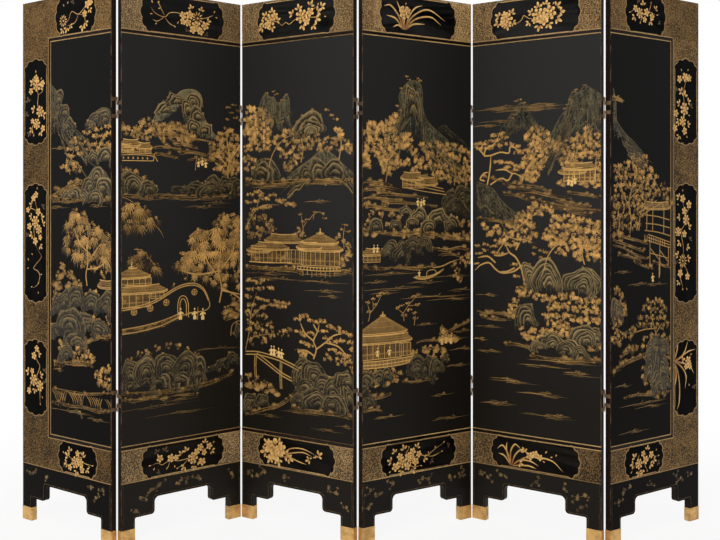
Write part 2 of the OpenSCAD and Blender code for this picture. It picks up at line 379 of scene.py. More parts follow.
# Painted shade: the hinge brass is darker, as it sits in the shaded gaps between the leaves.
hinge_brass = brass_finish("hinge_brass", tone(150, 122, 92), tone(58, 40, 30), 0.46, 0.5)
fixing_brass = brass_finish("fixing_brass", tone(140, 100, 54), tone(74, 50, 32), 0.5, 0.5)
metals = {"sabots": sabot_brass, "hinge_eyes": hinge_brass, "drop_pins": hinge_brass,
          "nails_and_screws": fixing_brass}
for name in frame["nodes"]:
    for ending, material in metals.items():
        if name.endswith(ending):
            finish(name, material)


# ---- Border ground and lines ----
# The bands at top and bottom, and the outer sides of the end leaves, carry a close ground of
# gilt scrolls on brown. Two thin raised gilt lines frame the picture, reddish lacquer between.

ground_top_z = 1975
ground_bottom_z = (234, 360)
side_ground_w = 172
line_gap = 15.6
gilt_line_w = 3.7
ground_relief = 0.14
band_relief = 0.1
line_relief = 0.36
side_margin = 0.9
sunk = 0.05
scroll_pitch = 8
scroll_turns = 12
# Painted light: the gold and brown are set leaf by leaf as each leaf catches the light, the end leaves
# darker.
scroll_gold_as_lit = {1: tone(200, 156, 90), 2: tone(252, 216, 158), 3: tone(250, 210, 148),
               4: tone(242, 200, 136), 5: tone(240, 198, 134), 6: tone(226, 182, 112)}
scroll_brown_as_lit = {1: tone(36, 26, 14), 2: tone(88, 70, 46), 3: tone(74, 58, 38),
                4: tone(68, 52, 32), 5: tone(52, 40, 25), 6: tone(50, 37, 21)}


def fill(shape, outline, top, bottom=-sunk):
    """A flat plate of this outline (a list of x, y, counter-clockwise), sunk into the lacquer."""
    face = shape.faces.new([shape.verts.new((x, y, top)) for x, y in outline])
    bmesh.ops.solidify(shape, geom=[face], thickness=top - bottom)


def lath(shape, path, width, top, bottom=-sunk, closed=False):
    """A thin strip of even width along a path of x, y points, with mitred corners."""
    points = [Vector(point) for point in path]
    edges = []
    for k, point in enumerate(points):
        before = points[k - 1] if k or closed else None
        after = points[(k + 1) % len(points)] if k < len(points) - 1 or closed else None
        arriving = (point - before).normalized() if before else (after - point).normalized()
        leaving = (after - point).normalized() if after else arriving
        mitre = (arriving + leaving).normalized()
        side = Vector((-mitre.y, mitre.x)) / max(mitre.dot(leaving), 0.3) * width / 2
        edges.append([shape.verts.new((*(point + side * s), top)) for s in (1, -1)])
    pairs = zip(edges, edges[1:] + edges[:1]) if closed else zip(edges, edges[1:])
    faces = [shape.faces.new((a[0], a[1], b[1], b[0])) for a, b in pairs]
    bmesh.ops.solidify(shape, geom=faces, thickness=top - bottom)


def rectangle(x0, x1, y0, y1):
    return [(x0, y0), (x1, y0), (x1, y1), (x0, y1)]


def picture_sides(leaf, inset):
    """Left and right side of the picture; only the end leaves have a border down the side."""
    left = side_ground_w + inset if leaf.number == 1 else 0
    right = leaf.width - side_ground_w - inset if leaf.number == 6 else leaf.width
    return left, right


def frame_paths(leaf, inset):
    """The line round the picture on this leaf, left open where it runs on to the next one."""
    left, right = picture_sides(leaf, inset)
    low, high = ground_bottom_z[1] + inset, ground_top_z - inset
    if leaf.number == 1:
        return [[(right, high), (left, high), (left, low), (right, low)]]
    if leaf.number == 6:
        return [[(left, low), (right, low), (right, high), (left, high)]]
    return [[(left, low), (right, low)], [(left, high), (right, high)]]


def scroll_ground(leaf):
    """Curling gilt scrolls on brown: rings round scattered points, rubbed unevenly."""
    material, place = start_material(f"scroll_ground_{leaf.number}")
    on_leaf = leaf_place(place, leaf)
    drifting = on_leaf.node("VectorMath", {"operation": "ADD"},
                            {0: on_leaf, 1: on_leaf.node("TexNoise", {}, {
                                "Vector": on_leaf, "Scale": 0.09, "Detail": 1}, "Color")})
    rings = drifting.node("TexVoronoi", {}, {"Vector": drifting, "Scale": 1 / scroll_pitch}, "Distance")
    curls = (rings * scroll_turns).maths("SINE")
    rubbed = on_leaf.noise(0.011, 4, 0.6)
    grains = on_leaf.noise(0.26, 3, 0.7)
    # Painted light: the gilt is made lighter towards the top band.
    top_light_share = on_leaf.axis("Z").fade(1650, 2060) * 0.26
    gilt = (curls * 0.55 + (grains - 0.5) * 2.6 + (rubbed - 0.5) * 1.5 + top_light_share).fade(-0.45, 0.85)
    bare = on_leaf.noise(0.045, 4, 0.7).fade(0.56, 0.7)
    gold = grains.fade(0.35, 0.6).mix(tone(128, 94, 52), scroll_gold_as_lit[leaf.number])
    color = (gilt * (1 - bare * 0.4)).mix(scroll_brown_as_lit[leaf.number], gold)
    coat(place, {"Base Color": color, "Metallic": gilt * 0.2, "Specular IOR Level": 0.25,
                 "Roughness": 0.58 - gilt * 0.14}, gilt + grains * 0.3, 0.0002)
    return material


gilt_lines, place = start_material("gilt_lines")
along_line = place.noise(45, 4, 0.65)
missing = place.noise(300, 3, 0.7).fade(0.5, 0.66) * along_line.fade(0.4, 0.6)
coat(place, {"Base Color": (missing * 0.7 + along_line * 0.2).clamp().mix(tone(232, 192, 126),
                                                                       tone(84, 62, 36)),
             "Metallic": 0.3 - missing * 0.2, "Roughness": missing * 0.15 + 0.4}, along_line, 0.0001)

reddish_band, place = start_material("reddish_band")
band_grain = place.stretched(1, 1, 0.4).noise(60, 4, 0.65)
coat(place, {"Base Color": band_grain.fade(0.3, 0.7).mix(tone(13, 9, 7), tone(48, 29, 20)),
             "Roughness": band_grain * 0.2 + 0.3, "Specular IOR Level": 0.2}, band_grain, 0.00008)

for leaf in leaves.values():
    left, right = side_margin, leaf.width - side_margin
    bottom, top = ground_bottom_z[1], ground_top_z
    grounds = [(left, right, top, leaf_h - side_margin), (left, right, *ground_bottom_z)]
    if leaf.number == 1:
        grounds.append((left, side_ground_w, bottom, top))
    if leaf.number == 6:
        grounds.append((leaf.width - side_ground_w, right, bottom, top))
    ground = bmesh.new()
    for sides in grounds:
        fill(ground, rectangle(*sides), ground_relief)
    add_piece(ground, f"{leaf.body}_scroll_ground", scroll_ground(leaf), leaf)

    bands = bmesh.new()
    for path in frame_paths(leaf, line_gap * 0.62):
        lath(bands, path, line_gap * 0.6, band_relief)
    add_piece(bands, f"{leaf.body}_reddish_bands", reddish_band, leaf)

    line_work = bmesh.new()
    for inset in (0, line_gap):
        for path in frame_paths(leaf, inset):
            lath(line_work, path, gilt_line_w, line_relief)
    lath(line_work, [(left, ground_bottom_z[0]), (right, ground_bottom_z[0])], gilt_line_w * 0.8,
         line_relief)
    add_piece(line_work, f"{leaf.body}_gilt_lines", gilt_lines, leaf)


# ---- Reserves ----
# Black reserves with lobed ends are left in the scroll ground, each with a fine gilt outline:
# one across the top and bottom of every leaf, and three down the outer side of the end leaves.

reserve_relief = 0.24
outline_relief = 0.42
outline_w = 3.2
lobe_count = 5
lobe_bulge = 6.5
end_depth = 44
reserve_sizes = {"wide_high": (192, 80.5), "wide_low": (190, 66), "short_high": (122, 80.5),
                 "short_low": (117, 66), "side_high": (171, 80), "side_middle": (239, 80),
                 "side_low": (151, 80)}
reserve_places = []
for number in leaves:
    size = "short" if number in (1, 6) else "wide"
    reserve_places += [(number, size + "_high", {1: 345, 6: 214}.get(number, 281), 2051, 0),
                       (number, size + "_low", {1: 358, 6: 204}.get(number, 282), 299, 0)]
for number, x in ((1, 87), (6, 475)):
    reserve_places += [(number, "side_high", x, 1721.5, 90), (number, "side_middle", x, 1144, 90),
                       (number, "side_low", x, 594, 90)]


def lobed_outline(half_length, half_width, grow=0):
    """Straight sides, and at each end a shallow arch of five lobes. grow moves it outwards."""
    points = []
    steps = 8 * lobe_count
    for end in (1, -1):
        for k in range(steps + 1):
            share = k / steps
            angle = math.radians(-90 + 180 * share)
            bulge = lobe_bulge * abs(math.sin(lobe_count * math.pi * share)) + grow
            out = Vector((math.cos(angle), math.sin(angle)))
            point = Vector((half_length - end_depth + end_depth * out.x,
                            (half_width - lobe_bulge) * out.y)) + out * bulge
            points.append(point * end)
    return points


for leaf in leaves.values():
    reserves = bmesh.new()
    outlines = bmesh.new()
    for number, size, x, y, turn in reserve_places:
        if number != leaf.number:
            continue
        spin = Matrix.Rotation(math.radians(turn), 2)
        inner = [Vector((x, y)) + spin @ point for point in lobed_outline(*reserve_sizes[size])]
        fill(reserves, [tuple(point) for point in inner], reserve_relief)
        lath(outlines, [tuple(point) for point in inner], outline_w, outline_relief, closed=True)
    add_piece(reserves, f"{leaf.body}_reserves", front_lacquers[leaf.number], leaf)
    add_piece(outlines, f"{leaf.body}_reserve_outlines", gilt_lines, leaf)


# ---- Sprays ----
# A flowering spray in each reserve, in raised gilt: petals, leaves and buds are low domed
# touches, and the stems are strokes that swell and draw out. Some leaves are only dull gold.

random.seed(11)


def work(leaf, kind):
    """The leaf's bmesh for one kind of painting, with a tone from 0 to 1 for every point."""
    if kind not in leaf.work:
        leaf.work[kind] = bmesh.new()
        leaf.work[kind].verts.layers.float.new("tone")
        leaf.work[kind].loops.layers.uv.new("stroke")
    return leaf.work[kind]


def touch_pattern(touches, sides=6, crown=0.35):
    """A mesh of domed touches (x, y, length, width, turn in degrees), to be stamped."""
    shape = bmesh.new()
    shape.verts.layers.float.new("tone")
    stroke = shape.loops.layers.uv.new("stroke")
    for x, y, length, width, turn in touches:
        place = (Matrix.Translation((x, y, 0.5)) @ Matrix.Rotation(math.radians(turn), 4, "Z")
                 @ Matrix.Diagonal((length / 2, width / 2, 1, 1)))
        touch = bmesh.ops.create_cone(shape, cap_ends=True, segments=sides, radius1=1,
                                      radius2=crown, depth=1, matrix=place)
        for vert in touch["verts"]:
            along = (place.inverted() @ vert.co).x
            for loop in vert.link_loops:
                loop[stroke].uv = (0.5 + along / 2, 0.5 + vert.co.y / 2)
    mesh = bpy.data.meshes.new("pattern")
    shape.to_mesh(mesh)
    shape.free()
    return mesh


def stamp(leaf, kind, pattern, x, y, size, turn=0, shade=0.8, relief=0.5, squash=1):
    """Puts a copy of a pattern down at x, y, this large, sunk a little into what is under it."""
    mesh = pattern.copy()
    mesh.transform(Matrix.Translation((x, y, -sunk)) @ Matrix.Rotation(math.radians(turn), 4, "Z")
                   @ Matrix.Diagonal((size, size * squash, relief + sunk, 1)))
    mesh.attributes["tone"].data.foreach_set("value", [shade] * len(mesh.vertices))
    work(leaf, kind).from_mesh(mesh)
    bpy.data.meshes.remove(mesh)


def petals(count, length=0.95, width=0.72, ring=0.5):
    """Touches in a ring round a heart."""
    turns = [360 / count * k for k in range(count)]
    return [(ring * math.cos(math.radians(t)), ring * math.sin(math.radians(t)), length, width, t)
            for t in turns] + [(0, 0, 0.5, 0.5, 0)]


def through(points, steps):
    """Points on a smooth curve through these ones (Catmull-Rom)."""
    ends = [Vector(p) for p in points]
    ends = [ends[0] * 2 - ends[1], *ends, ends[-1] * 2 - ends[-2]]
    path = []
    for a, b, c, d in zip(ends, ends[1:], ends[2:], ends[3:]):
        for k in range(steps):
            t = k / steps
            path.append(b + (c - a) * (t / 2) + (a * 2 - b * 5 + c * 4 - d) * (t * t / 2)
                        + (b * 3 - a - c * 3 + d) * (t ** 3 / 2))
    return path + [ends[-2]]


def lay_sheet(leaf, kind, columns, rows, place, shade, span=1, waning=0):
    """A closed thin sheet. place(u, v) gives its points, u and v from 0 to 1, and shade its tone."""
    sheet = bmesh.new()
    tones = sheet.verts.layers.float.new("tone")
    stroke = sheet.loops.layers.uv.new("stroke")
    bmesh.ops.create_grid(sheet, x_segments=columns, y_segments=rows, size=0.5)
    for vert in sheet.verts:
        u, v = vert.co.x + 0.5, vert.co.y + 0.5
        vert.co = place(u, v)
        vert[tones] = shade * (1 - waning * abs(2 * u - 1) ** 1.5)
        for loop in vert.link_loops:
            loop[stroke].uv = (u * span, v)
    skin = bmesh.ops.solidify(sheet, geom=sheet.faces[:], thickness=sunk)
    for vert in skin["geom"]:
        if isinstance(vert, bmesh.types.BMVert):
            vert.co.z = -sunk
    mesh = bpy.data.meshes.new("sheet")
    sheet.to_mesh(mesh)
    sheet.free()
    work(leaf, kind).from_mesh(mesh)
    bpy.data.meshes.remove(mesh)


def raised(leaf, step, most):
    """Lays each stroke a little higher than the last, so that no two lie in one plane."""
    leaf.lift = (leaf.lift + step) % most
    return leaf.lift


def brush(leaf, kind, points, width, shade=0.6, steps=5, relief=0.34, start=0.25, end=0.08):
    """One stroke of the brush through these points, swelling to its width and drawn out."""
    path = through(points, steps)
    last = len(path) - 1
    lift = raised(leaf, 0.013, 0.12)

    def place(u, v):
        k = round(u * last)
        ahead = (path[min(k + 1, last)] - path[max(k - 1, 0)]).normalized()
        swell = min(1, start + u / 0.15) * min(1, end + (1 - u) / 0.35)
        x, y = path[k] + Vector((-ahead.y, ahead.x)) * (v - 0.5) * width * swell
        return x, y, (relief if v == 0.5 else relief * 0.55) + lift

    lay_sheet(leaf, kind, last, 2, place, shade)


blossom = touch_pattern(petals(5, 0.95, 0.76, 0.46))
daisy = touch_pattern(petals(11, 0.85, 0.26, 0.6), 4)
peony = touch_pattern(petals(7, 0.72, 0.62, 0.64) + petals(4, 0.56, 0.5, 0.26))
leaflet = touch_pattern([(0.5, 0, 1, 0.36, 0)])
leaf_spray = touch_pattern([(0.45, 0, 1, 0.48, 0), (0.2, 0.32, 0.78, 0.4, 60),
                            (0.2, -0.32, 0.78, 0.4, -60)])
bud = touch_pattern([(0.32, 0, 0.72, 0.5, 0), (0, 0, 0.4, 0.3, 0)])
flower_swell = 1.22
leaf_swell = 1.3


def spray(leaf, stems, flowers=(), buds=(), leaflets=(), dull=(), stem_w=2.6):
    """Stems as lists of points, flowers as x, y, size and pattern, where no pattern is a plain
    blossom, then buds, gold leaves and dull leaves as x, y, size and turn."""
    for stem in stems:
        brush(leaf, "flower_sprays", stem, stem_w, 0.66, relief=0.5)
    for x, y, size, turn in dull:
        stamp(leaf, "flower_sprays", leaf_spray, x, y, size, turn, 0.12, 0.5)
    for x, y, size, turn in leaflets:
        stamp(leaf, "flower_sprays", leaf_spray, x, y, size * leaf_swell, turn,
              random.uniform(0.6, 0.9), 0.6)
    for x, y, size, turn in buds:
        stamp(leaf, "flower_sprays", bud, x, y, size, turn, random.uniform(0.75, 0.95), 0.66)
    for x, y, size, *pattern in flowers:
        stamp(leaf, "flower_sprays", *(pattern or [blossom]), x, y, size * flower_swell,
              random.uniform(0, 72), random.uniform(0.82, 1), 0.72)

spray(leaves[1],
    [[(90, 1815), (97, 1770), (105, 1750), (101, 1710), (116, 1680)],
    [(116, 1680), (95, 1640), (64, 1620), (74, 1590)], [(105, 1750), (134, 1765), (131, 1800)]],
    [(90, 1818, 17), (95, 1790, 24, peony), (56, 1768, 15), (134, 1795, 15), (116, 1682, 22, peony),
    (95, 1632, 21, peony), (136, 1612, 15), (66, 1645, 12)],
    [(89, 1842, 17, 95), (143, 1650, 16, 40), (124, 1812, 14, 70), (76, 1590, 16, 250)],
    [(70, 1800, 24, 150), (118, 1780, 22, 20), (80, 1690, 24, 160), (134, 1670, 22, 10),
    (64, 1612, 22, 220), (118, 1600, 22, 300)],
    [(37, 1722, 34, 100), (25, 1665, 30, 80), (45, 1600, 28, 250)])
spray(leaves[1],
    [[(83, 1345), (89, 1300), (105, 1270), (89, 1230), (76, 1200), (85, 1150), (97, 1120)],
    [(105, 1270), (64, 1285), (35, 1280)], [(89, 1230), (116, 1210), (132, 1180)],
    [(97, 1120), (126, 1090), (93, 1060), (74, 1040), (101, 1030), (116, 1010), (101, 975), (70, 960)]],
    [(90, 1342, 15), (72, 1328, 15), (105, 1272, 17), (85, 1232, 23, peony), (107, 1200, 18, peony),
    (45, 1212, 16), (85, 1152, 17), (118, 1168, 13), (35, 1280, 13)],
    [(39, 1072, 15, 110), (37, 1042, 13, 230), (66, 1096, 14, 140), (122, 1016, 14, 20),
    (105, 984, 13, 300), (64, 964, 14, 190), (105, 945, 13, 270), (97, 1365, 14, 80)],
    [(64, 1300, 22, 160), (124, 1250, 22, 10), (66, 1180, 24, 200), (116, 1135, 20, 320),
    (62, 1252, 20, 170), (134, 1222, 20, 30)],
    [(132, 1290, 26, 40), (33, 1170, 26, 120)])
spray(leaves[1],
    [[(95, 715), (83, 685), (101, 660), (116, 640), (93, 600), (74, 580)],
    [(93, 600), (118, 575), (116, 540), (118, 495)], [(74, 580), (54, 560), (43, 535)]],
    [(95, 712, 15), (76, 682, 17), (74, 582, 23, peony), (116, 562, 21, peony), (43, 535, 15),
    (64, 618, 14)],
    [(118, 492, 15, 280), (103, 735, 14, 80), (130, 520, 13, 300)],
    [(43, 612, 24, 170), (118, 605, 22, 20), (83, 548, 22, 260), (105, 690, 20, 10)],
    [(151, 572, 34, 80), (145, 620, 28, 60)])
spray(leaves[1],
    [[(312, 262), (331, 290), (364, 308), (400, 312)], [(364, 300), (407, 290), (447, 288)],
    [(331, 290), (302, 306), (273, 312)]],
    [(343, 285, 22, peony), (376, 288, 18, peony), (359, 322, 14), (387, 262, 15), (312, 262, 14)],
    [(447, 288, 15, 10), (428, 282, 13, 330), (403, 318, 14, 50), (273, 312, 15, 140)],
    [(302, 300, 26, 140), (312, 322, 22, 110), (387, 316, 22, 60), (414, 270, 20, 320), (294, 276, 22, 200),
    (354, 254, 22, 250)],
    [(283, 268, 24, 220)])
spray(leaves[1],
    [[(263, 2010), (302, 2035), (323, 2065), (364, 2050), (400, 2070), (436, 2085)],
    [(364, 2050), (343, 2020), (292, 2010)], [(364, 2050), (400, 2040), (407, 2010)]],
    [(269, 2034, 23, daisy), (420, 2082, 18), (403, 2048, 15), (440, 2090, 14)],
    [(273, 2092, 15, 110), (296, 2100, 14, 60), (453, 2100, 14, 50)],
    [(292, 2006, 24, 250), (267, 2000, 22, 230), (391, 2004, 26, 260), (407, 2016, 22, 300),
    (312, 2012, 18, 320), (432, 2064, 20, 300)],
    [(325, 2096, 24, 60)])
spray(leaves[2],
    [[(130, 2072), (151, 2050), (193, 2040), (219, 2060), (266, 2062), (308, 2045)],
    [(193, 2040), (214, 2018), (237, 2008)], [(193, 2040), (161, 2020), (138, 2024)],
    [(193, 2044), (172, 2080), (161, 2100)], [(350, 2050), (394, 2060), (424, 2074)]],
    [(279, 2056, 17), (310, 2062, 19), (348, 2052, 25, daisy), (340, 2018, 21, peony), (384, 2026, 19),
    (325, 2004, 17), (363, 2000, 16), (302, 2030, 17), (279, 2032, 15)],
    [(138, 2090, 15, 120), (163, 2092, 15, 50), (166, 2070, 14, 20), (136, 2046, 14, 190),
    (237, 2010, 15, 320), (157, 2012, 14, 220), (428, 2084, 15, 60), (436, 2066, 14, 350),
    (256, 2028, 14, 250)],
    [(365, 2082, 20, 80), (394, 2044, 20, 10), (319, 2086, 20, 110)],
    [(386, 1996, 22, 320), (300, 2004, 20, 240)])
spray(leaves[2],
    [[(128, 284), (161, 290), (182, 280), (219, 292), (256, 284), (308, 288), (350, 310), (392, 312),
    (424, 322)], [(219, 292), (210, 270), (203, 262)], [(308, 288), (279, 264), (256, 258)],
    [(350, 310), (366, 330)], [(329, 280), (331, 255)]],
    [(325, 284, 22, peony), (172, 306, 16), (222, 300, 18), (247, 298, 13), (361, 322, 16), (344, 306, 15),
    (405, 320, 15), (371, 262, 17), (380, 298, 13)],
    [(130, 286, 15, 190), (147, 272, 14, 230), (205, 266, 14, 250), (239, 268, 14, 280),
    (163, 318, 13, 110), (424, 330, 14, 50), (426, 308, 14, 330), (256, 256, 14, 200)],
    [(287, 258, 22, 220), (273, 306, 20, 130), (350, 268, 22, 330), (296, 314, 22, 110), (384, 334, 20, 80),
    (331, 252, 18, 260), (415, 300, 18, 320)],
    [(193, 330, 30, 60), (161, 330, 24, 120), (172, 256, 22, 200)])
spray(leaves[3],
    [[(196, 2041), (212, 2027), (232, 2037), (250, 2028), (276, 2042), (311, 2049)],
    [(150, 2054), (176, 2047), (196, 2041)], [(311, 2049), (354, 2066), (387, 2085)],
    [(311, 2049), (362, 2044), (408, 2041)]],
    [(150, 2054, 26, peony), (136, 2035, 18), (176, 2068, 17), (311, 2054, 27, peony), (354, 2066, 20),
    (337, 2032, 18)],
    [(392, 2089, 15, 60), (425, 2041, 14, 350), (112, 2059, 15, 180)],
    [(120, 2046, 24, 190), (128, 2072, 24, 140), (160, 2082, 24, 90), (184, 2049, 22, 20),
    (160, 2028, 24, 280), (110, 2028, 24, 210), (298, 2080, 26, 100), (354, 2089, 26, 60),
    (387, 2063, 28, 20), (380, 2037, 28, 340), (316, 2020, 26, 290), (268, 2065, 24, 150),
    (367, 2013, 24, 310), (408, 2080, 24, 30)])
spray(leaves[3],
    [[(214, 295), (260, 321), (320, 327), (380, 311)], [(206, 287), (262, 303), (320, 313), (362, 303)],
    [(200, 281), (250, 284), (300, 273), (336, 268)], [(380, 311), (396, 303)]],
    [(172, 303, 46, peony), (150, 316, 26), (206, 313, 28), (178, 284, 26)],
    [(372, 300, 24, 20), (362, 297, 18, 200)],
    [(130, 292, 32, 190), (140, 324, 28, 140), (196, 332, 26, 80), (226, 292, 34, 350), (190, 266, 30, 290),
    (152, 270, 28, 240), (244, 281, 28, 340), (392, 311, 26, 30), (352, 289, 22, 200)], stem_w=4.5)
spray(leaves[4],
    [[(200, 1994), (178, 2046), (138, 2084), (104, 2078)], [(200, 1994), (164, 2034), (116, 2044)],
    [(204, 1994), (176, 2010), (150, 2000)], [(206, 1994), (206, 2040), (216, 2090)],
    [(208, 1994), (250, 2052), (330, 2086), (420, 2048)], [(210, 1994), (260, 2040), (340, 2058),
    (398, 2030)], [(212, 1994), (252, 2020), (312, 2026)], [(204, 1994), (190, 2060), (168, 2106)],
    [(208, 1994), (232, 2050), (262, 2086), (300, 2100)]],
    [(208, 2062, 26, peony), (196, 2072, 15), (224, 2072, 15)],
    [(214, 2094, 15, 80)],
    [],
    [], stem_w=6.5)
spray(leaves[4],
    [[(152, 262), (184, 276), (231, 282), (279, 300), (321, 292), (363, 312), (407, 330)],
    [(231, 282), (247, 258), (287, 256)], [(231, 282), (215, 310), (230, 332)],
    [(321, 292), (352, 286), (397, 296)]],
    [(162, 268, 19), (194, 282, 22, peony), (226, 300, 19), (184, 306, 16), (249, 318, 17), (222, 262, 17),
    (264, 276, 18), (243, 288, 17, peony), (281, 304, 15)],
    [(410, 332, 15, 40), (399, 298, 14, 10), (365, 318, 14, 60), (331, 300, 13, 90), (289, 256, 15, 350),
    (230, 334, 14, 90), (137, 254, 14, 210)],
    [(143, 292, 24, 160), (207, 330, 24, 110), (270, 330, 22, 60), (194, 252, 22, 250), (249, 252, 22, 290),
    (306, 284, 22, 340), (160, 324, 20, 120)],
    [(342, 270, 26, 330), (431, 318, 22, 20)])
spray(leaves[5],
    [[(186, 2050), (204, 2034), (226, 2045), (236, 2060), (262, 2045), (290, 2048)],
    [(160, 2053), (186, 2050)], [(290, 2048), (330, 2071), (356, 2089)],
    [(290, 2048), (340, 2045), (384, 2050)]],
    [(158, 2053, 26, peony), (140, 2039, 16), (150, 2073, 16), (300, 2055, 27, peony),
    (346, 2060, 28, peony), (322, 2032, 22), (284, 2036, 15)],
    [(362, 2092, 15, 50), (402, 2053, 15, 10), (114, 2057, 14, 180)],
    [(126, 2067, 24, 150), (122, 2043, 24, 200), (160, 2031, 24, 280), (178, 2073, 24, 60),
    (184, 2039, 20, 330), (300, 2083, 26, 100), (332, 2090, 24, 80), (376, 2080, 26, 40),
    (390, 2059, 24, 0), (376, 2034, 28, 330), (342, 2018, 26, 300), (302, 2015, 26, 260),
    (272, 2067, 22, 150), (260, 2031, 20, 220)])
spray(leaves[5],
    [[(176, 246), (164, 290), (140, 322), (116, 306)], [(176, 246), (150, 280), (122, 288)],
    [(178, 246), (176, 300), (196, 334), (222, 318)], [(180, 246), (196, 290), (226, 316), (258, 300)],
    [(176, 246), (158, 306), (160, 338)], [(182, 246), (216, 272), (262, 276), (300, 262)],
    [(182, 246), (240, 286), (300, 296), (360, 290), (404, 256)], [(184, 246), (250, 256), (290, 250)]],
    [(262, 296, 18), (286, 306, 16), (306, 296, 14)],
    [(330, 318, 16, 50), (352, 304, 14, 20), (374, 312, 14, 60), (320, 284, 14, 330)],
    [(240, 308, 22, 120), (214, 262, 22, 340)],
    [], stem_w=6)
spray(leaves[6],
    [[(119, 2050), (150, 2064), (192, 2048), (234, 2062), (282, 2054)], [(192, 2048), (182, 2020)],
    [(234, 2062), (247, 2094)]],
    [(177, 2052, 20, peony), (219, 2060, 18), (253, 2046, 16), (150, 2068, 15), (207, 2030, 14)],
    [(119, 2050, 14, 190), (284, 2056, 15, 10), (247, 2096, 14, 90), (180, 2018, 14, 260)],
    [(198, 2084, 22, 100), (238, 2028, 22, 320), (146, 2036, 22, 220), (272, 2076, 20, 50)],
    [(171, 2092, 22, 120), (295, 2030, 20, 320)])
spray(leaves[6],
    [[(446, 1842), (471, 1800), (458, 1760), (465, 1700), (452, 1650), (408, 1612)],
    [(465, 1700), (488, 1672)], [(471, 1800), (502, 1820)], [(452, 1650), (471, 1610)]],
    [(470, 1822, 20), (433, 1812, 17), (498, 1820, 16), (465, 1692, 25, peony), (454, 1642, 20, peony),
    (410, 1672, 16), (404, 1612, 16), (467, 1602, 17)],
    [(446, 1846, 15, 100), (488, 1850, 14, 60), (494, 1668, 14, 350), (481, 1582, 14, 300)],
    [(465, 1742, 28, 80), (448, 1760, 24, 150), (488, 1722, 22, 20), (429, 1640, 22, 200),
    (435, 1712, 22, 160), (486, 1630, 20, 10), (431, 1584, 22, 240)],
    [(416, 1760, 28, 110), (507, 1700, 26, 60)])
spray(leaves[6],
    [[(454, 1345), (458, 1300), (475, 1262), (465, 1220), (442, 1190), (458, 1130), (454, 1070)],
    [(475, 1262), (498, 1290)], [(442, 1190), (414, 1180)], [(454, 1070), (435, 1020), (454, 965)],
    [(454, 1070), (484, 1030), (488, 1000)]],
    [(454, 1326, 18), (496, 1302, 18), (465, 1276, 17), (477, 1240, 20, peony), (423, 1192, 18, peony),
    (465, 1182, 16), (454, 1072, 26, daisy), (437, 1022, 18), (486, 1008, 16)],
    [(454, 1356, 14, 90), (454, 962, 17, 270), (479, 960, 13, 300), (425, 1300, 14, 150)],
    [(431, 1330, 22, 150), (437, 1252, 22, 190), (492, 1210, 22, 20), (437, 1150, 24, 220),
    (481, 1130, 22, 340), (425, 1096, 22, 160), (486, 1080, 22, 10), (429, 990, 20, 230)],
    [(412, 1060, 26, 130), (502, 1156, 24, 50)])
spray(leaves[6],
    [[(397, 668), (433, 676), (469, 704), (488, 744)], [(397, 668), (447, 684), (491, 700), (541, 706)],
    [(397, 668), (447, 640), (477, 600), (469, 550)], [(397, 668), (422, 620), (433, 560), (430, 500),
    (416, 470)], [(397, 668), (452, 656), (502, 640), (529, 606)], [(397, 668), (414, 706), (422, 736)],
    [(403, 660), (411, 610), (400, 560)]],
    [(491, 664, 19), (502, 640, 15), (477, 640, 14)],
    [(507, 684, 16, 40), (496, 566, 14, 290)],
    [(447, 668, 24, 10)],
    [(529, 560, 26, 290)], stem_w=6)
spray(leaves[6],
    [[(129, 266), (161, 290), (203, 286), (245, 306), (289, 300)], [(203, 286), (219, 258)],
    [(161, 290), (171, 322)]],
    [(171, 286, 20, peony), (213, 296, 18), (249, 312, 16), (198, 322, 14)],
    [(291, 302, 15, 0), (222, 256, 14, 270), (127, 262, 14, 220), (278, 324, 13, 50)],
    [(148, 312, 24, 130), (171, 256, 22, 250), (240, 276, 24, 330), (261, 290, 22, 340),
    (192, 262, 22, 260), (224, 334, 20, 80), (138, 288, 22, 180)],
    [(289, 276, 22, 330)])

spray_gilt, place = start_material("spray_gilt")
painted_tone = place.node("Attribute", {"attribute_name": "tone"}, output="Fac")
rubs = place.noise(70, 4, 0.65)
flecks = place.noise(620, 2, 0.6).fade(0.4, 0.7)
stroke = place.node("UVMap", {"uv_map": "stroke"})
along_touch = stroke.axis("X")
bright = (rubs * 0.8 + flecks * 0.2 + along_touch
    * 0.7).fade(0.35, 1.15).mix(tone(140, 86, 34), tone(252, 204, 124))
dim = flecks.mix(tone(66, 48, 32), tone(110, 84, 54))
coat(place, {"Base Color": painted_tone.fade(0.05, 0.85).mix(dim, bright), "Metallic": 0.15,
    "Roughness": rubs * 0.2 + 0.36, "Specular IOR Level": 0.3}, rubs + flecks * 0.5, 0.0002)
for leaf in leaves.values():
    add_piece(leaf.work.pop("flower_sprays"), f"{leaf.body}_flower_sprays", spray_gilt, leaf)


# ---- Washes and strokes of the landscape ----
# The landscape is painted in gold dust on wet lacquer. A wash is dense along a ridge or shore
# and fades below it, and strokes of a fine brush draw the rest, olive for rock, gold for trees.

def at(line, share):
    """The point this share of the way along a line."""
    k = share * (len(line) - 1)
    low = min(int(k), len(line) - 2)
    return line[low].lerp(line[low + 1], k - low)


def lowered(points, drop):
    return [(x, y - drop) for x, y in points]


def veil(leaf, kind, top, foot, shade=0.5, rows=5, relief=0.12, waning=0):
    """A wash from the line top down to the line foot, both drawn from left to right."""
    upper, lower = through(top, 4), through(foot, 4)
    columns = max(len(upper), len(lower), 9) - 1
    span = (upper[-1] - upper[0]).length / 100
    lift = raised(leaf, 0.011, 0.12)

    def place(u, v):
        x, y = at(lower, u).lerp(at(upper, u), v)
        return x, y, relief + (lift if kind.endswith("washes") else 0)

    lay_sheet(leaf, kind, columns, rows, place, shade, span, waning)


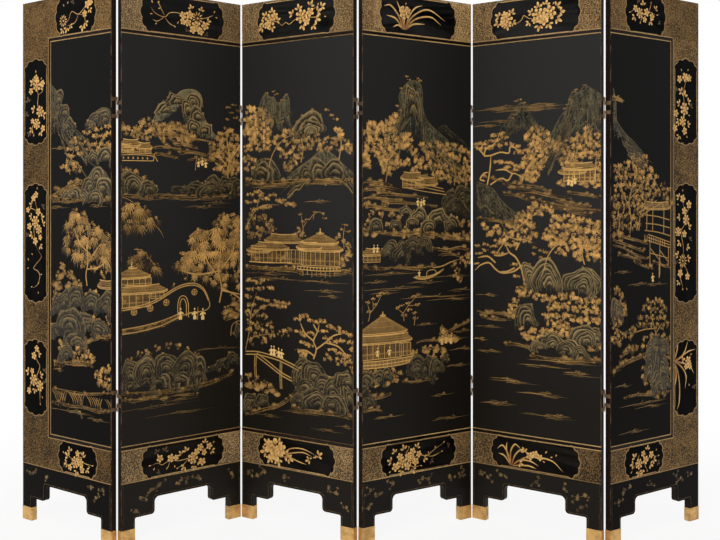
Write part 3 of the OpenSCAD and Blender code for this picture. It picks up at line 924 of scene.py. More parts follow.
def hatch(leaf, ridge, drop, count, spread=0.5, shade=0.4, width=2.3):
    """Texture strokes that start under a ridge and run down it, spreading from its top."""
    line = through(ridge, 6)
    peak = max(range(len(line)), key=lambda k: line[k].y) / (len(line) - 1)
    for k in range(round(count * 0.6)):
        share = (k + random.random()) / count / 0.6
        start = at(line, share) - Vector((0, drop * random.uniform(0.02, 0.5)))
        fall = drop * random.uniform(0.2, 0.55)
        lean = (share - peak) * spread * 2 + random.uniform(-0.2, 0.2)
        middle = start + Vector((lean * fall * 0.25, -fall * 0.5))
        end = start + Vector((lean * fall, -fall))
        brush(leaf, "rock_strokes", [start, middle, end], width * random.uniform(0.6, 1.4),
              shade * random.choice((0, 0, 0, 0.4, 0.8, 1.2)), 3, 0.3)


def rock(leaf, foot, width, height, shade=0.4, folds=2, lean=0.16):
    """A boulder of nested folds round an off-centre eye, each pale above and dark beneath."""
    rough = [random.uniform(0.84, 1.12) for k in range(10)]
    eye = Vector((lean * width, height * 0.12))
    leaf.heap = (leaf.heap + 0.02) % 0.44
    relief = 0.26 + leaf.heap
    turn = Matrix.Rotation(random.uniform(-0.4, 0.4), 2)
    arcs = []
    for fold in range(folds + 1):
        share = 1 - (fold + random.uniform(-0.2, 0.2) * (fold > 0)) / (folds + 1.4)
        arc = []
        for k in range(10):
            angle = math.radians(222 - 264 * k / 9)
            reach = rough[k] * random.uniform(0.9, 1.06)
            rise = height * math.sin(angle) * (1 if math.sin(angle) > 0 else 0.3)
            dome = Vector((width / 2 * reach * math.cos(angle), rise * reach))
            arc.append(Vector(foot) + eye * (1 - share) + turn @ dome * share)
        arcs.append(arc)
    for outer, inner in zip(arcs, arcs[1:]):
        veil(leaf, "rock_folds", outer, inner, shade * random.uniform(0.6, 1.4), 3, relief, 0.85)
    middle = arcs[-1]
    veil(leaf, "rock_folds", middle, [(x, min(y, middle[0].y)) for x, y in middle], shade, 3, relief,
         0.85)
    brush(leaf, "rock_strokes", arcs[0][2:8], 2, shade, 3, relief)
    for rim in random.sample(arcs[0][2:8] + arcs[1][2:8], 5):
        stamp(leaf, "foliage", random.choice((sprig, star)), rim.x, rim.y, random.uniform(6, 11),
              random.uniform(-60, 60), random.uniform(0.1, 0.8), relief + 0.06)
    for k in range(folds * 2):
        start = Vector(foot) + turn @ Vector((width * random.uniform(-0.36, 0.36),
                                              height * random.uniform(0.1, 0.7)))
        fall = height * random.uniform(0.12, 0.3)
        lean = (start.x - foot[0]) / width * fall
        brush(leaf, "rock_strokes", [start, start + Vector((lean * 0.3, -fall * 0.5)),
                                     start + Vector((lean, -fall))], 1.8,
              shade * random.uniform(0.3, 1.2), 2, relief)


def rocks(leaf, places, shade, folds, spread=None):
    """Boulders as x, y of the foot, width and height. With a spread, each leans its own way."""
    for x, y, width, height in places:
        lean = 0.16 if spread is None else random.uniform(-spread, spread)
        rock(leaf, (x, y), width, height, shade, folds, lean)


def long_folds(leaf, ridge, drop, count, shade=0.4):
    """Long folds that follow a ridge one below another, with breaks where they run out."""
    upper = [at([Vector(p) for p in ridge], k / 15) for k in range(16)]
    for k in range(count):
        lower = [p - Vector((0, drop / count * random.uniform(0.6, 1.4))) for p in upper]
        first = random.randint(0, 6)
        last = random.randint(9, 16)
        if k % 3:
            gap = random.randint(5, 10)
            first, last = random.choice(((0, gap), (gap, 16)))
        light = shade * random.uniform(0.5, 1.4)
        veil(leaf, "rock_folds", upper[first:last], lower[first:last], light, 3, 0.14)
        if k % 3 == 1:
            brush(leaf, "rock_strokes", upper[first:last], 2, light, 3, 0.3)
        upper = lower


def crag(leaf, ridge, foot, drop=120, count=36, spread=0.5, shade=0.4):
    """A mountain: a wash below its ridge, folds and texture strokes on it, a broken outline."""
    veil(leaf, "mountain_washes", ridge, foot, shade, 8)
    long_folds(leaf, ridge, drop * 0.8, max(3, round(drop / 15)), shade)
    hatch(leaf, ridge, drop, count, spread, shade)
    brush(leaf, "rock_strokes", ridge, 2.4, shade * 1.2, 5, 0.3)


def bank(leaf, shore, depth=24, shade=0.5, tufts=0):
    """Level ground: gold dust that fades below a shoreline, broken lines and tufts of grass."""
    veil(leaf, "gold_washes", shore, lowered(shore, depth), shade * 0.5, 4)
    line = through(shore, 6)
    for k in range(5):
        first, last = (random.uniform(0, 0.6), random.uniform(0.65, 1)) if k else (0, 1)
        part = [at(line, first + (last - first) * s / 3) - Vector((0, depth * k * 0.2))
                for s in range(4)]
        brush(leaf, "gilt_strokes", part, random.uniform(1.2, 2.3), shade * random.uniform(0.4, 1.2),
              4, 0.28, 0.05, 0.03)
    for k in range(tufts):
        spot = at(line, random.random())
        stamp(leaf, "gilt_strokes", tuft, spot.x, spot.y - random.uniform(0, depth * 0.5),
              random.uniform(12, 24), random.uniform(-20, 20), random.uniform(0.3, 0.7))


def streaks(leaf, spots, shade=0.42, width=1.8):
    """Level streaks of light on the water: middle x, y and length of each."""
    for x, y, length in spots:
        for k, share in enumerate((1.3, 0.6, 0.4)):
            middle = x + (random.uniform(-0.3, 0.3) * length if k else 0)
            high = y + (0, 4, -4)[k] + random.uniform(-1, 1)
            half = length * share / 2
            brush(leaf, "gilt_strokes",
                  [(middle - half, high - 1.5), (middle - half * 0.3, high + 1.5),
                   (middle + half * 0.3, high - 1), (middle + half, high + 0.5)],
                  width * random.uniform(0.7, 1.2), shade * random.uniform(0.6, 1.2), 4, 0.2,
                  0.05, 0.03)
        for k in range(5):
            stamp(leaf, "gilt_strokes", leaflet, x + random.uniform(-0.12, 0.12) * length,
                  y + random.uniform(0, 5), random.uniform(8, 18), random.uniform(4, 40),
                  shade * random.uniform(0.8, 1.6), 0.3, 0.4)


# ---- Leaves and plants of the landscape ----
# Leaves are dabbed on with the tip of the brush: round clumps for trees, hanging fronds for
# willows, fans of needles for pines, blades for grass. Each clump is lit along its upper edge.

def fan(blades, out, length, width):
    """A pattern of pointed touches that spread from one spot: the turn and size of each."""
    return touch_pattern([(out * size * math.cos(math.radians(turn)),
                           out * size * math.sin(math.radians(turn)), length * size, width, turn)
                          for turn, size in blades], 4, 0)


rosette = touch_pattern(petals(5, 0.8, 0.5, 0.55)[:5], 4, 0)
sprig = fan([(turn, 1) for turn in (10, 80, 150, 215, 300)], 0.5, 0.9, 0.3)
tuft = fan([(turn, 1) for turn in (48, 70, 92, 115, 138)], 0.42, 0.9, 0.11)
needles = fan([(turn, 1) for turn in range(0, 181, 30)], 0.45, 0.8, 0.13)
star = fan([(4, 1), (42, 0.72), (84, 1.12), (124, 0.8), (170, 1), (216, 0.7), (262, 0.86),
            (312, 0.75)], 0.45, 0.95, 0.24)
tassel = fan([(218, 0.6), (238, 0.9), (256, 0.8), (271, 1.1), (288, 0.9), (308, 0.8), (328, 0.5)],
             0.5, 1, 0.09)


def dabs(leaf, pattern, x, y, reach, high, count, size, shade, turn=(0, 360), over=0):
    """Scatters touches over an ellipse, lighter towards its top."""
    for k in range(count):
        angle = random.uniform(0, 2 * math.pi)
        out = math.sqrt(random.random())
        up = out * math.sin(angle)
        light = min(max(shade + 0.22 * up + random.uniform(-0.42, 0.34), 0), 1)
        stamp(leaf, "foliage", pattern, x + reach * out * math.cos(angle), y + high * up,
              size * random.uniform(0.7, 1.3), random.uniform(*turn), light,
              random.uniform(0.22, 0.42) + over)


def leafage(leaf, spots, radius=32, count=34, shade=0.6, size=6.6):
    """Jagged clumps of leaves at these spots: pointed stars of leaves with bright tips on them."""
    for x, y in spots:
        lift = raised(leaf, 0.07, 0.35)
        dabs(leaf, star, x, y, radius * 0.84, radius * 0.7, round(count / 5), radius * 0.46,
             shade * 0.8, (-60, 60), lift)
        dabs(leaf, sprig, x, y + radius * 0.16, radius * 0.8, radius * 0.64, round(count / 5),
             size * 1.2, shade + 0.3, over=lift + 0.1)


def pine(leaf, pads, width=34, shade=0.7):
    """Flat pads of pine: small stars of needles in a row, with brighter ones on them."""
    for x, y in pads:
        lift = raised(leaf, 0.07, 0.35)
        dabs(leaf, star, x, y, width * 0.8, width * 0.22, 4, width * 0.36, shade * 0.9, (-60, 60),
             lift)
        dabs(leaf, needles, x, y + 2, width * 0.9, width * 0.24, 4, width * 0.34, shade + 0.16,
             (-30, 30), lift)
        dabs(leaf, sprig, x, y + 2, width * 0.9, width * 0.24, 4, width * 0.24, shade + 0.3,
             over=lift + 0.1)


def willow(leaf, crowns, reach=30, drop=58, shade=0.55):
    """Tassels of hanging willow from each crown."""
    for x, y in crowns:
        lift = raised(leaf, 0.07, 0.35)
        dabs(leaf, tassel, x, y, reach * 0.8, reach * 0.4, 3, drop, shade + 0.12, (-12, 12),
             lift)
        dabs(leaf, sprig, x, y + 4, reach * 0.8, reach * 0.5, 5, reach * 0.3, shade + 0.2,
             over=lift)


def plants(leaf, spots, height=34, shade=0.55):
    """Leafy plants and reeds that stand up from these spots."""
    for x, y in spots:
        for k in range(4):
            stamp(leaf, "foliage", tuft, x + random.uniform(-14, 14), y + random.uniform(-6, 6),
                  height * random.uniform(0.6, 1.1), random.uniform(-25, 25),
                  min(1, shade * random.uniform(0.7, 1.4)))
        dabs(leaf, rosette, x, y + height * 0.7, height * 0.5, height * 0.4, 9, 6, shade)


def branches(leaf, boughs, width=6, shade=0.5):
    """Trunks and boughs, each a line of points from its root."""
    for bough in boughs:
        brush(leaf, "gilt_strokes", bough, width * 0.75, shade, 4, 0.3, 1, 0.25)


# ---- Buildings, boats and figures of the landscape ----
# Pavilions with tiled, upturned roofs, walls, bridges and boats are drawn in fine gold lines
# over thin gold. The figures are small robed dabs with a round head and no face.

robed = touch_pattern([(0, 0.48, 0.5, 0.24, 90), (-0.06, 0.2, 0.42, 0.2, 84),
                       (0.07, 0.2, 0.42, 0.2, 98), (-0.17, 0.5, 0.32, 0.13, 50),
                       (0.17, 0.54, 0.32, 0.13, 150), (0, 0.85, 0.19, 0.15, 90)], 6, 0.5)


def figures(leaf, spots, height=38, shade=0.95):
    for x, y in spots:
        stamp(leaf, "figures", robed, x, y, height, random.uniform(-4, 4), shade, 0.75)


def lines(leaf, paths, width=2.2, shade=0.75, relief=0.42):
    """Fine gold lines that keep their width."""
    for path in paths:
        brush(leaf, "gilt_strokes", path, width, shade, 4, relief, 1, 1)


def roof(leaf, middle, width, rise, top_share=0.4, shade=0.6, tiles=14):
    """A tiled roof: middle of its eaves, width, rise, and its ridge as a share of the width."""
    x, y = middle
    half, top = width / 2, width / 2 * top_share
    eaves = [(x - half - 5, y + 7), (x - half * 0.8, y), (x, y - 2), (x + half * 0.8, y),
             (x + half + 5, y + 7)]
    ridge = [(x - top, y + rise), (x, y + rise - 1), (x + top, y + rise)]
    veil(leaf, "thin_gold", ridge, eaves, shade * 0.55, 3, 0.16)
    upper, lower = through(ridge, 4), through(eaves, 4)
    lines(leaf, [[at(upper, k / tiles), at(lower, k / tiles)] for k in range(tiles + 1)], 1.2,
          shade * 0.6, 0.34)
    lines(leaf, [[at(upper, s / 4).lerp(at(lower, s / 4), v) for s in range(5)]
                 for v in (0.3, 0.62)], 1.8, shade * 0.8, 0.34)
    lines(leaf, [eaves, lowered(eaves, 5)], 3, shade + 0.3)
    lines(leaf, [[(x - top - 5, y + rise + 3), (x, y + rise), (x + top + 5, y + rise + 3)]], 3.4,
          shade + 0.3)


def house(leaf, middle, width, height, bays=4, shade=0.5):
    """A wall with posts, a lattice between them and a rail: middle of its foot, width, height."""
    x, y = middle
    half = width / 2
    foot = [(x - half, y), (x, y), (x + half, y)]
    veil(leaf, "thin_gold", lowered(foot, -height), foot, shade * 0.3, 2, 0.14)
    lines(leaf, [foot, lowered(foot, -height)], 2.8, shade + 0.25)
    lines(leaf, [lowered(foot, -height * 0.3), lowered(foot, -height * 0.36)], 1.6, shade)
    for k in range(bays + 1):
        post = x - half + width * k / bays
        lines(leaf, [[(post, y), (post, y + height)]], 2.6, shade + 0.2)
        if k < bays:
            gap = width / bays
            lines(leaf, [[(post + gap * s, y), (post + gap * s, y + height * 0.3)]
                         for s in (0.33, 0.67)], 1, shade * 0.6)
            lines(leaf, [[(post + gap * 0.5, y + height * 0.4), (post + gap * 0.5, y + height)],
                         [(post, y + height * 0.75), (post + gap, y + height * 0.75)]], 0.9,
                  shade * 0.5)


# ---- Picture on leaf 1 ----
# The left end: a steep hill that runs down to pines, folded rocks at the water's edge, a grove
# of willows over a heap of curled rocks, and a grassy bank low down.

random.seed(101)
leaf = leaves[1]
crag(leaf, [(178, 1796), (194, 1782), (214, 1768), (235, 1742), (255, 1700), (281, 1660), (312, 1618),
    (364, 1590), (418, 1556)],
    [(178, 1560), (209, 1575), (250, 1570), (292, 1560), (343, 1556), (416, 1548)], 190, 60, 0.9, 0.3)
hatch(leaf, [(178, 1700), (219, 1690), (260, 1650), (312, 1600), (364, 1575)], 110, 26, 0.9, 0.3)
crag(leaf, [(410, 1618), (447, 1650), (480, 1664), (509, 1674), (545, 1668), (561, 1655)],
    [(410, 1600), (457, 1596), (509, 1600), (561, 1604)], 60, 22, 0.4, 0.3)
rocks(leaf, [(470, 1618, 90, 40), (520, 1610, 90, 56), (436, 1600, 70, 30), (230, 1700, 60, 70),
    (262, 1650, 80, 60), (310, 1600, 90, 44)], 0.34, 2, 0.3)
pine(leaf, [(447, 1606), (488, 1590), (540, 1598), (416, 1580), (469, 1564), (519, 1562), (555, 1572),
    (333, 1545), (364, 1560), (304, 1518), (317, 1490), (374, 1500), (273, 1450), (343, 1460), (312, 1436),
    (393, 1538), (354, 1520)], 30, 0.5)
leafage(leaf, [(426, 1535), (469, 1520), (519, 1530), (555, 1515), (436, 1496), (488, 1490), (540, 1480),
    (405, 1505), (359, 1440), (312, 1462)], 30, 26, 0.42)
branches(leaf, [[(312, 1420), (304, 1455), (323, 1490), (343, 1530)],
    [(323, 1480), (292, 1500), (273, 1508)]], 4, 0.4)
crag(leaf, [(390, 1380), (418, 1402), (457, 1442), (488, 1446), (524, 1428), (561, 1392)],
    [(390, 1312), (447, 1306), (509, 1308), (561, 1312)], 110, 40, 0.7, 0.36)
rocks(leaf, [(478, 1390, 90, 56), (430, 1356, 90, 50), (520, 1350, 110, 56), (400, 1322, 80, 36),
    (470, 1316, 100, 44), (340, 1330, 90, 40), (290, 1328, 80, 26)], 0.46, 2, 0.3)
rock(leaf, (519, 1462), 110, 62, 0.45, 2)
rock(leaf, (447, 1468), 80, 44, 0.35, 2)
bank(leaf, [(178, 1336), (240, 1352), (302, 1384), (366, 1402), (416, 1392)], 34, 0.4, 14)
bank(leaf, [(180, 1338), (250, 1328), (343, 1330), (436, 1334), (561, 1322)], 22, 0.42, 8)
bank(leaf, [(209, 1368), (271, 1362), (343, 1372), (405, 1364)], 16, 0.34, 8)
streaks(leaf, [(240, 1290, 110), (238, 1527, 100), (271, 1310, 160), (488, 1296, 90)], 0.3)
willow(leaf, [(333, 1272), (364, 1258), (405, 1256), (312, 1230), (364, 1216), (436, 1222), (472, 1210),
    (519, 1196), (390, 1180), (447, 1172), (498, 1160), (545, 1172), (359, 1160), (283, 1132), (374, 1112),
    (426, 1120), (472, 1120), (519, 1112), (550, 1130), (312, 1180), (343, 1110)], 30, 52, 0.34)
leafage(leaf, [(436, 1085), (498, 1075), (545, 1060), (395, 1070), (462, 1046), (519, 1030)], 28, 26, 0.36)
branches(leaf, [[(418, 985), (411, 1030), (424, 1080), (418, 1140), (436, 1200)],
    [(424, 1080), (457, 1110), (498, 1150)], [(416, 1120), (374, 1150), (343, 1200)],
    [(420, 1050), (488, 1060), (540, 1090)]], 7, 0.62)
roof(leaf, (531, 985), 90, 24, 0.7, 0.4, 8)
plants(leaf, [(235, 1000), (273, 1010), (312, 1010), (302, 965), (250, 960), (343, 985), (374, 975),
    (219, 930), (263, 1040), (214, 965)], 30, 0.3)
rocks(leaf, [(224, 860, 90, 86), (273, 880, 110, 90), (354, 900, 120, 84), (436, 890, 110, 90),
    (519, 880, 110, 96), (312, 800, 180, 96), (416, 810, 130, 76), (240, 775, 100, 70), (343, 740, 170, 70),
    (498, 800, 120, 60), (292, 690, 120, 60)], 0.26, 3, 0.2)
leafage(leaf, [(426, 940), (467, 950), (519, 935), (555, 915), (478, 905), (312, 930), (374, 940),
    (540, 860), (457, 850)], 25, 24, 0.48)
leafage(leaf, [(250, 742), (312, 752), (366, 735), (418, 722), (447, 700), (273, 700), (343, 700),
    (400, 700)], 26, 28, 0.5)
bank(leaf, [(209, 664), (271, 676), (343, 684), (416, 690), (457, 684)], 22, 0.5, 14)
bank(leaf, [(366, 756), (416, 772), (478, 800), (561, 806)], 26, 0.5, 10)
leafage(leaf, [(480, 640), (519, 660), (555, 672), (498, 610), (540, 620), (561, 600)], 27, 28, 0.5)
bank(leaf, [(198, 562), (271, 566), (354, 560), (447, 572), (561, 586)], 12, 0.4, 4)
for k in range(26):
    x = 196 + k * 13.6
    lean = 30 if k % 8 < 5 else -12
    brush(leaf, "gilt_strokes", [(x, 556), (x + lean * 0.7, 538), (x + lean, 514)], 3.4,
        random.uniform(0.1, 0.45), 3, 0.24)
bank(leaf, [(193, 512), (292, 508), (395, 516), (488, 510), (561, 520)], 16, 0.3, 6)
streaks(leaf, [(312, 482, 240), (488, 468, 120), (240, 640, 60)], 0.3)
rock(leaf, (359, 474), 60, 16, 0.4, 2)


# ---- Picture on leaf 2 ----
# A bare crooked peak over a village, streaked banks with a tall tree, and in the middle a
# pavilion in a walled garden with a moon gate under a big willow. A rock island lies below.

random.seed(102)
leaf = leaves[2]
crag(leaf, [(134, 1621), (157, 1658), (199, 1698), (246, 1735), (274, 1756), (320, 1764), (357, 1751),
    (371, 1718), (363, 1684), (386, 1645), (412, 1608), (455, 1569)],
    [(151, 1611), (218, 1652), (258, 1680), (286, 1701), (271, 1676), (277, 1650), (286, 1626), (312, 1598),
    (344, 1581), (376, 1569), (415, 1565), (455, 1564)], 50, 30, 0.6, 0.8)
for foot, width, height, turned in (((190, 1668), 96, 34, 0.2), ((240, 1702), 90, 44, 0.2),
        ((330, 1700), 86, 58, -0.1), ((306, 1664), 60, 60, 0.1), ((350, 1640), 74, 66, 0.1),
        ((330, 1600), 70, 52, 0), ((384, 1588), 80, 50, -0.1)):
    rock(leaf, foot, width, height, 0.66, 2, turned)
hatch(leaf, [(271, 1748), (308, 1752), (345, 1740), (350, 1700), (340, 1680)], 60, 16, 0.5, 0.8)
pine(leaf, [(497, 1700), (528, 1712), (549, 1690), (514, 1680), (565, 1705), (534, 1660), (492, 1652),
    (560, 1650)], 16, 0.1)
leafage(leaf, [(77, 1600), (113, 1618), (147, 1612), (180, 1600), (98, 1570), (140, 1578), (25, 1585),
    (56, 1568), (177, 1565), (219, 1592), (256, 1604), (289, 1596), (319, 1570), (237, 1566), (279, 1560),
    (9, 1600), (203, 1580), (303, 1545)], 28, 30, 0.56)
for middle, width in (((41, 1530), 80), ((101, 1520), 62), ((23, 1512), 50)):
    roof(leaf, middle, width, 20, 0.7, 0.6, 9)
house(leaf, (67, 1500), 128, 20, 5, 0.55)
lines(leaf, [[(4, 1492), (67, 1494), (142, 1490), (161, 1470)], [(4, 1470), (142, 1472)],
    [(142, 1472), (147, 1500)]], 3, 0.75)
for k in range(6):
    lines(leaf, [[(10 + k * 21, 1477), (10 + k * 21, 1485)]], 6, 0.6)
for y, x0, x1 in ((1619, 180, 300), (1607, 190, 380), (1583, 150, 330), (1572, 200, 430), (1546, 240, 350),
        (1531, 130, 300), (1515, 260, 420), (1502, 130, 260), (1488, 300, 500), (1525, 400, 500)):
    bank(leaf, [(x0, y - 6), (x0 + 40, y + 2), ((x0 + x1) // 2, y), (x1, y - 12)], 13, 0.42, 3)
leafage(leaf, [(466, 1580), (497, 1600), (489, 1560), (450, 1560), (424, 1536), (466, 1530), (508, 1530),
    (539, 1540), (487, 1500), (528, 1500), (560, 1520), (455, 1495), (497, 1470), (539, 1465), (424, 1490),
    (476, 1440), (518, 1430), (445, 1450), (560, 1470), (565, 1440), (534, 1575)], 28, 32, 0.58)
branches(leaf, [[(503, 1380), (497, 1430), (505, 1500), (493, 1560), (497, 1610)],
    [(501, 1450), (466, 1490), (445, 1520)], [(505, 1480), (539, 1520), (560, 1550)]], 6, 0.7)
figures(leaf, [(352, 1452), (371, 1458), (388, 1450)], 36)
branches(leaf, [[(338, 1440), (340, 1470), (346, 1490)]], 3, 0.5)
rock(leaf, (46, 1350), 120, 84, 0.4, 3)
rock(leaf, (119, 1345), 90, 50, 0.34, 2)
leafage(leaf, [(25, 1432), (67, 1420), (9, 1400), (98, 1400)], 20, 18, 0.34)
rocks(leaf, [(266, 1348, 110, 26), (340, 1356, 130, 44), (430, 1366, 110, 56), (400, 1348, 120, 44),
    (497, 1362, 130, 60), (455, 1348, 120, 36), (560, 1352, 110, 60)], 0.26, 2, 0.3)
bank(leaf, [(67, 1350), (193, 1340), (319, 1346), (445, 1340), (572, 1350)], 18, 0.4, 12)
bank(leaf, [(4, 1345), (67, 1338), (140, 1342)], 16, 0.34, 4)
streaks(leaf, [(350, 1322, 240), (445, 1308, 120), (382, 1292, 160), (130, 1322, 90)], 0.26)
willow(leaf, [(35, 1300), (69, 1292), (105, 1280), (14, 1270), (56, 1256), (115, 1250), (138, 1240),
    (29, 1228), (77, 1225)], 24, 52, 0.3)
willow(leaf, [(77, 1120), (113, 1110), (46, 1095), (128, 1085), (151, 1060), (92, 1080)], 22, 46, 0.22)
branches(leaf, [[(4, 1330), (35, 1320), (77, 1290), (130, 1240), (172, 1200), (189, 1170)],
    [(56, 1130), (98, 1120), (151, 1060), (182, 1020)]], 4, 0.34)
willow(leaf, [(348, 1198), (380, 1190), (319, 1160), (363, 1150), (403, 1150), (434, 1168), (455, 1244),
    (489, 1250), (528, 1246), (565, 1240), (450, 1206), (493, 1206), (535, 1200), (565, 1186), (455, 1150),
    (502, 1158), (544, 1150), (319, 1110), (361, 1112), (403, 1110), (445, 1105), (489, 1110), (534, 1104),
    (565, 1100), (268, 1092), (308, 1080)], 29, 54, 0.56)
willow(leaf, [(243, 1062), (279, 1060), (319, 1058), (361, 1062), (403, 1062), (445, 1066), (487, 1062),
    (528, 1060), (565, 1056), (350, 1024), (403, 1016), (455, 1020), (497, 1012), (541, 1010), (428, 985),
    (476, 975), (560, 975)], 28, 36, 0.5)
branches(leaf, [[(455, 900), (466, 960), (449, 1030), (461, 1100), (455, 1180)],
    [(457, 1000), (403, 1060), (365, 1130)], [(466, 1040), (518, 1100), (539, 1180)],
    [(461, 960), (528, 930), (572, 900)], [(463, 950), (508, 940), (572, 925)],
    [(449, 1030), (350, 1020), (266, 1040)]], 8, 0.66)
lines(leaf, [[(46, 1052), (46, 1082)], [(35, 1062), (56, 1062)]], 4, 0.9)
roof(leaf, (50, 1022), 150, 34, 0.2, 0.62, 16)
house(leaf, (67, 985), 130, 34, 5, 0.5)
roof(leaf, (92, 962), 220, 26, 0.66, 0.6, 20)
house(leaf, (50, 905), 150, 56, 5, 0.5)
house(leaf, (161, 935), 60, 26, 3, 0.45)
wall_top = [(4, 905), (88, 912), (161, 932), (235, 968), (287, 984), (338, 984), (377, 962), (401, 920)]
lines(leaf, [wall_top, lowered(wall_top, 8)], 4.5, 0.62)
for x, y in [(4, 930), (67, 936), (119, 944), (172, 958), (224, 982), (279, 1000), (331, 1004), (382, 998),
        (422, 976), (466, 950), (508, 926), (549, 906)]:
    leafage(leaf, [(x + 8, y)], 13, 12, 0.4)
lines(leaf, [[(4, 806), (88, 812), (182, 828), (277, 860), (350, 870)],
    [(4, 824), (98, 832), (182, 846), (256, 866)], [(401, 920), (407, 890), (382, 872), (308, 868)]], 4.5,
    0.5)
veil(leaf, "gold_washes", [(4, 822), (98, 830), (182, 846), (266, 870)],
    [(4, 800), (98, 804), (182, 818), (277, 846)], 0.4)
for x, y in [(56, 888), (128, 898), (201, 916), (333, 950)]:
    ring = [(x + 13 * math.cos(t * math.pi / 4), y + 12 * math.sin(t * math.pi / 4)) for t in range(9)]
    lines(leaf, [ring, [(x - 10, y), (x + 10, y)], [(x, y - 10), (x, y + 10)]], 2.6, 0.55)
    stamp(leaf, "foliage", rosette, x, y, 15, 20, 0.4, 0.34)
gate = [(256, 848), (254, 900), (262, 930), (277, 938), (294, 930), (304, 900), (304, 850)]
lines(leaf, [gate, [(266, 850), (264, 900), (270, 922), (279, 926), (287, 920), (294, 900), (294, 856)]],
    3.4, 0.7)
figures(leaf, [(266, 842), (335, 838), (373, 834)], 52)
branches(leaf, [[(348, 838), (350, 890)]], 3, 0.8)
plants(leaf, [(497, 850), (528, 880), (560, 860), (549, 830), (513, 830)], 34, 0.42)
bank(leaf, [(476, 836), (528, 848), (572, 860)], 20, 0.4, 8)
lines(leaf, [[(512, 760), (518, 800), (541, 816), (572, 818)]], 4, 0.4)
rock(leaf, (560, 760), 60, 50, 0.4, 2)
rocks(leaf, [(46, 620, 100, 96), (119, 630, 120, 96), (203, 640, 130, 90), (282, 630, 120, 92),
    (88, 590, 150, 80), (193, 590, 170, 84), (287, 585, 150, 78), (350, 600, 90, 90), (25, 590, 90, 70)],
    0.34, 4, 0.25)
leafage(leaf, [(35, 705), (77, 725), (119, 725), (161, 738), (209, 745), (256, 735), (298, 715),
    (340, 690)], 20, 18, 0.26, 5.6)
rocks(leaf, [(424, 620, 70, 26), (466, 630, 80, 44), (518, 640, 80, 50)], 0.24, 2)
bank(leaf, [(4, 584), (88, 578), (193, 572), (319, 574), (445, 590), (528, 612)], 20, 0.24, 12)
bank(leaf, [(4, 560), (67, 552), (151, 556), (203, 546)], 18, 0.28, 6)
bank(leaf, [(182, 536), (235, 546), (298, 548), (350, 540)], 14, 0.24, 4)
streaks(leaf, [(161, 512, 300), (266, 526, 140), (455, 712, 220), (266, 474, 260), (67, 660, 80)], 0.16)


# ---- Picture on leaf 3 ----
# Twin peaks and a round hill behind gold trees, a lake pavilion on its island, and below it a
# footbridge that leads to a gnarled tree on folded rocks.

random.seed(103)
leaf = leaves[3]
crag(leaf, [(80, 1672), (98, 1718), (120, 1752), (138, 1750), (154, 1738), (170, 1740), (186, 1716),
    (210, 1722), (226, 1742), (246, 1734), (252, 1700), (246, 1662), (262, 1622), (285, 1598)],
    [(80, 1600), (120, 1604), (170, 1596), (220, 1592), (260, 1592), (285, 1590)], 130, 60, 0.5, 0.4)
pine(leaf, [(130, 1756), (170, 1760), (182, 1748), (216, 1722), (235, 1744)], 12, 0.4)
for share in (1, 0.78, 0.56, 0.36):
    rock(leaf, (354, 1590 - 20 * (1 - share)), 170 * share, 74 * share, 0.42 + 0.3 * (1 - share), 2)
pine(leaf, [(319, 1655), (359, 1662), (439, 1672), (457, 1650), (481, 1632), (319, 1625)], 15, 0.55)
leafage(leaf, [(40, 1690), (74, 1684), (112, 1678), (132, 1656), (30, 1652), (66, 1650), (100, 1640),
    (40, 1616), (80, 1612), (120, 1618), (136, 1596), (48, 1582), (86, 1576), (120, 1566), (26, 1600),
    (60, 1550), (100, 1540), (140, 1540), (32, 1530), (146, 1630)], 29, 34, 0.66)
leafage(leaf, [(190, 1572), (224, 1586), (260, 1590), (295, 1580), (180, 1545), (235, 1550), (281, 1556),
    (319, 1560), (355, 1556), (391, 1562), (429, 1552), (469, 1546), (501, 1560), (531, 1536), (489, 1586),
    (349, 1530), (399, 1524), (449, 1520), (497, 1520), (210, 1518), (270, 1524), (309, 1520), (539, 1506)],
    24, 24, 0.5)
pine(leaf, [(210, 1580), (270, 1584), (489, 1592), (505, 1570), (549, 1528)], 26, 0.6)
branches(leaf, [[(140, 1440), (160, 1500), (190, 1540), (230, 1570), (260, 1580)],
    [(309, 1470), (319, 1520), (309, 1570)], [(495, 1480), (505, 1540), (493, 1600)]], 5, 0.5)
crag(leaf, [(50, 1440), (80, 1478), (120, 1492), (160, 1484), (190, 1450), (205, 1420)],
    [(50, 1404), (100, 1402), (150, 1402), (205, 1404)], 76, 36, 0.7, 0.32)
crag(leaf, [(240, 1410), (281, 1440), (319, 1462), (359, 1484), (399, 1510), (435, 1512), (475, 1492),
    (519, 1454), (560, 1426)],
    [(240, 1402), (319, 1402), (399, 1404), (479, 1402), (560, 1404)], 110, 70, 0.8, 0.42)
rocks(leaf, [(110, 1410, 110, 64), (399, 1410, 120, 84), (469, 1410, 120, 64), (329, 1412, 80, 46)], 0.4, 2,
    0.2)
leafage(leaf, [(26, 1490), (56, 1478), (34, 1452), (72, 1446), (225, 1500), (264, 1500), (301, 1496),
    (232, 1462), (271, 1466), (250, 1440)], 25, 24, 0.46)
bank(leaf, [(20, 1410), (80, 1402), (150, 1400)], 22, 0.46, 6)
bank(leaf, [(150, 1396), (260, 1402), (359, 1406), (459, 1400), (560, 1404)], 26, 0.5, 14)
bank(leaf, [(20, 1388), (150, 1386), (279, 1390)], 14, 0.36, 4)
streaks(leaf, [(394, 1313, 110), (170, 1372, 200), (439, 1382, 160)], 0.3)
pine(leaf, [(50, 1340), (86, 1352), (110, 1338), (40, 1308), (82, 1312), (125, 1322), (160, 1338),
    (186, 1318), (140, 1292), (210, 1312), (242, 1300), (270, 1300), (110, 1286), (60, 1278)], 26, 0.48)
branches(leaf, [[(20, 1200), (50, 1250), (90, 1290), (140, 1300), (200, 1300)],
    [(80, 1280), (90, 1320), (110, 1340)]], 5, 0.4)
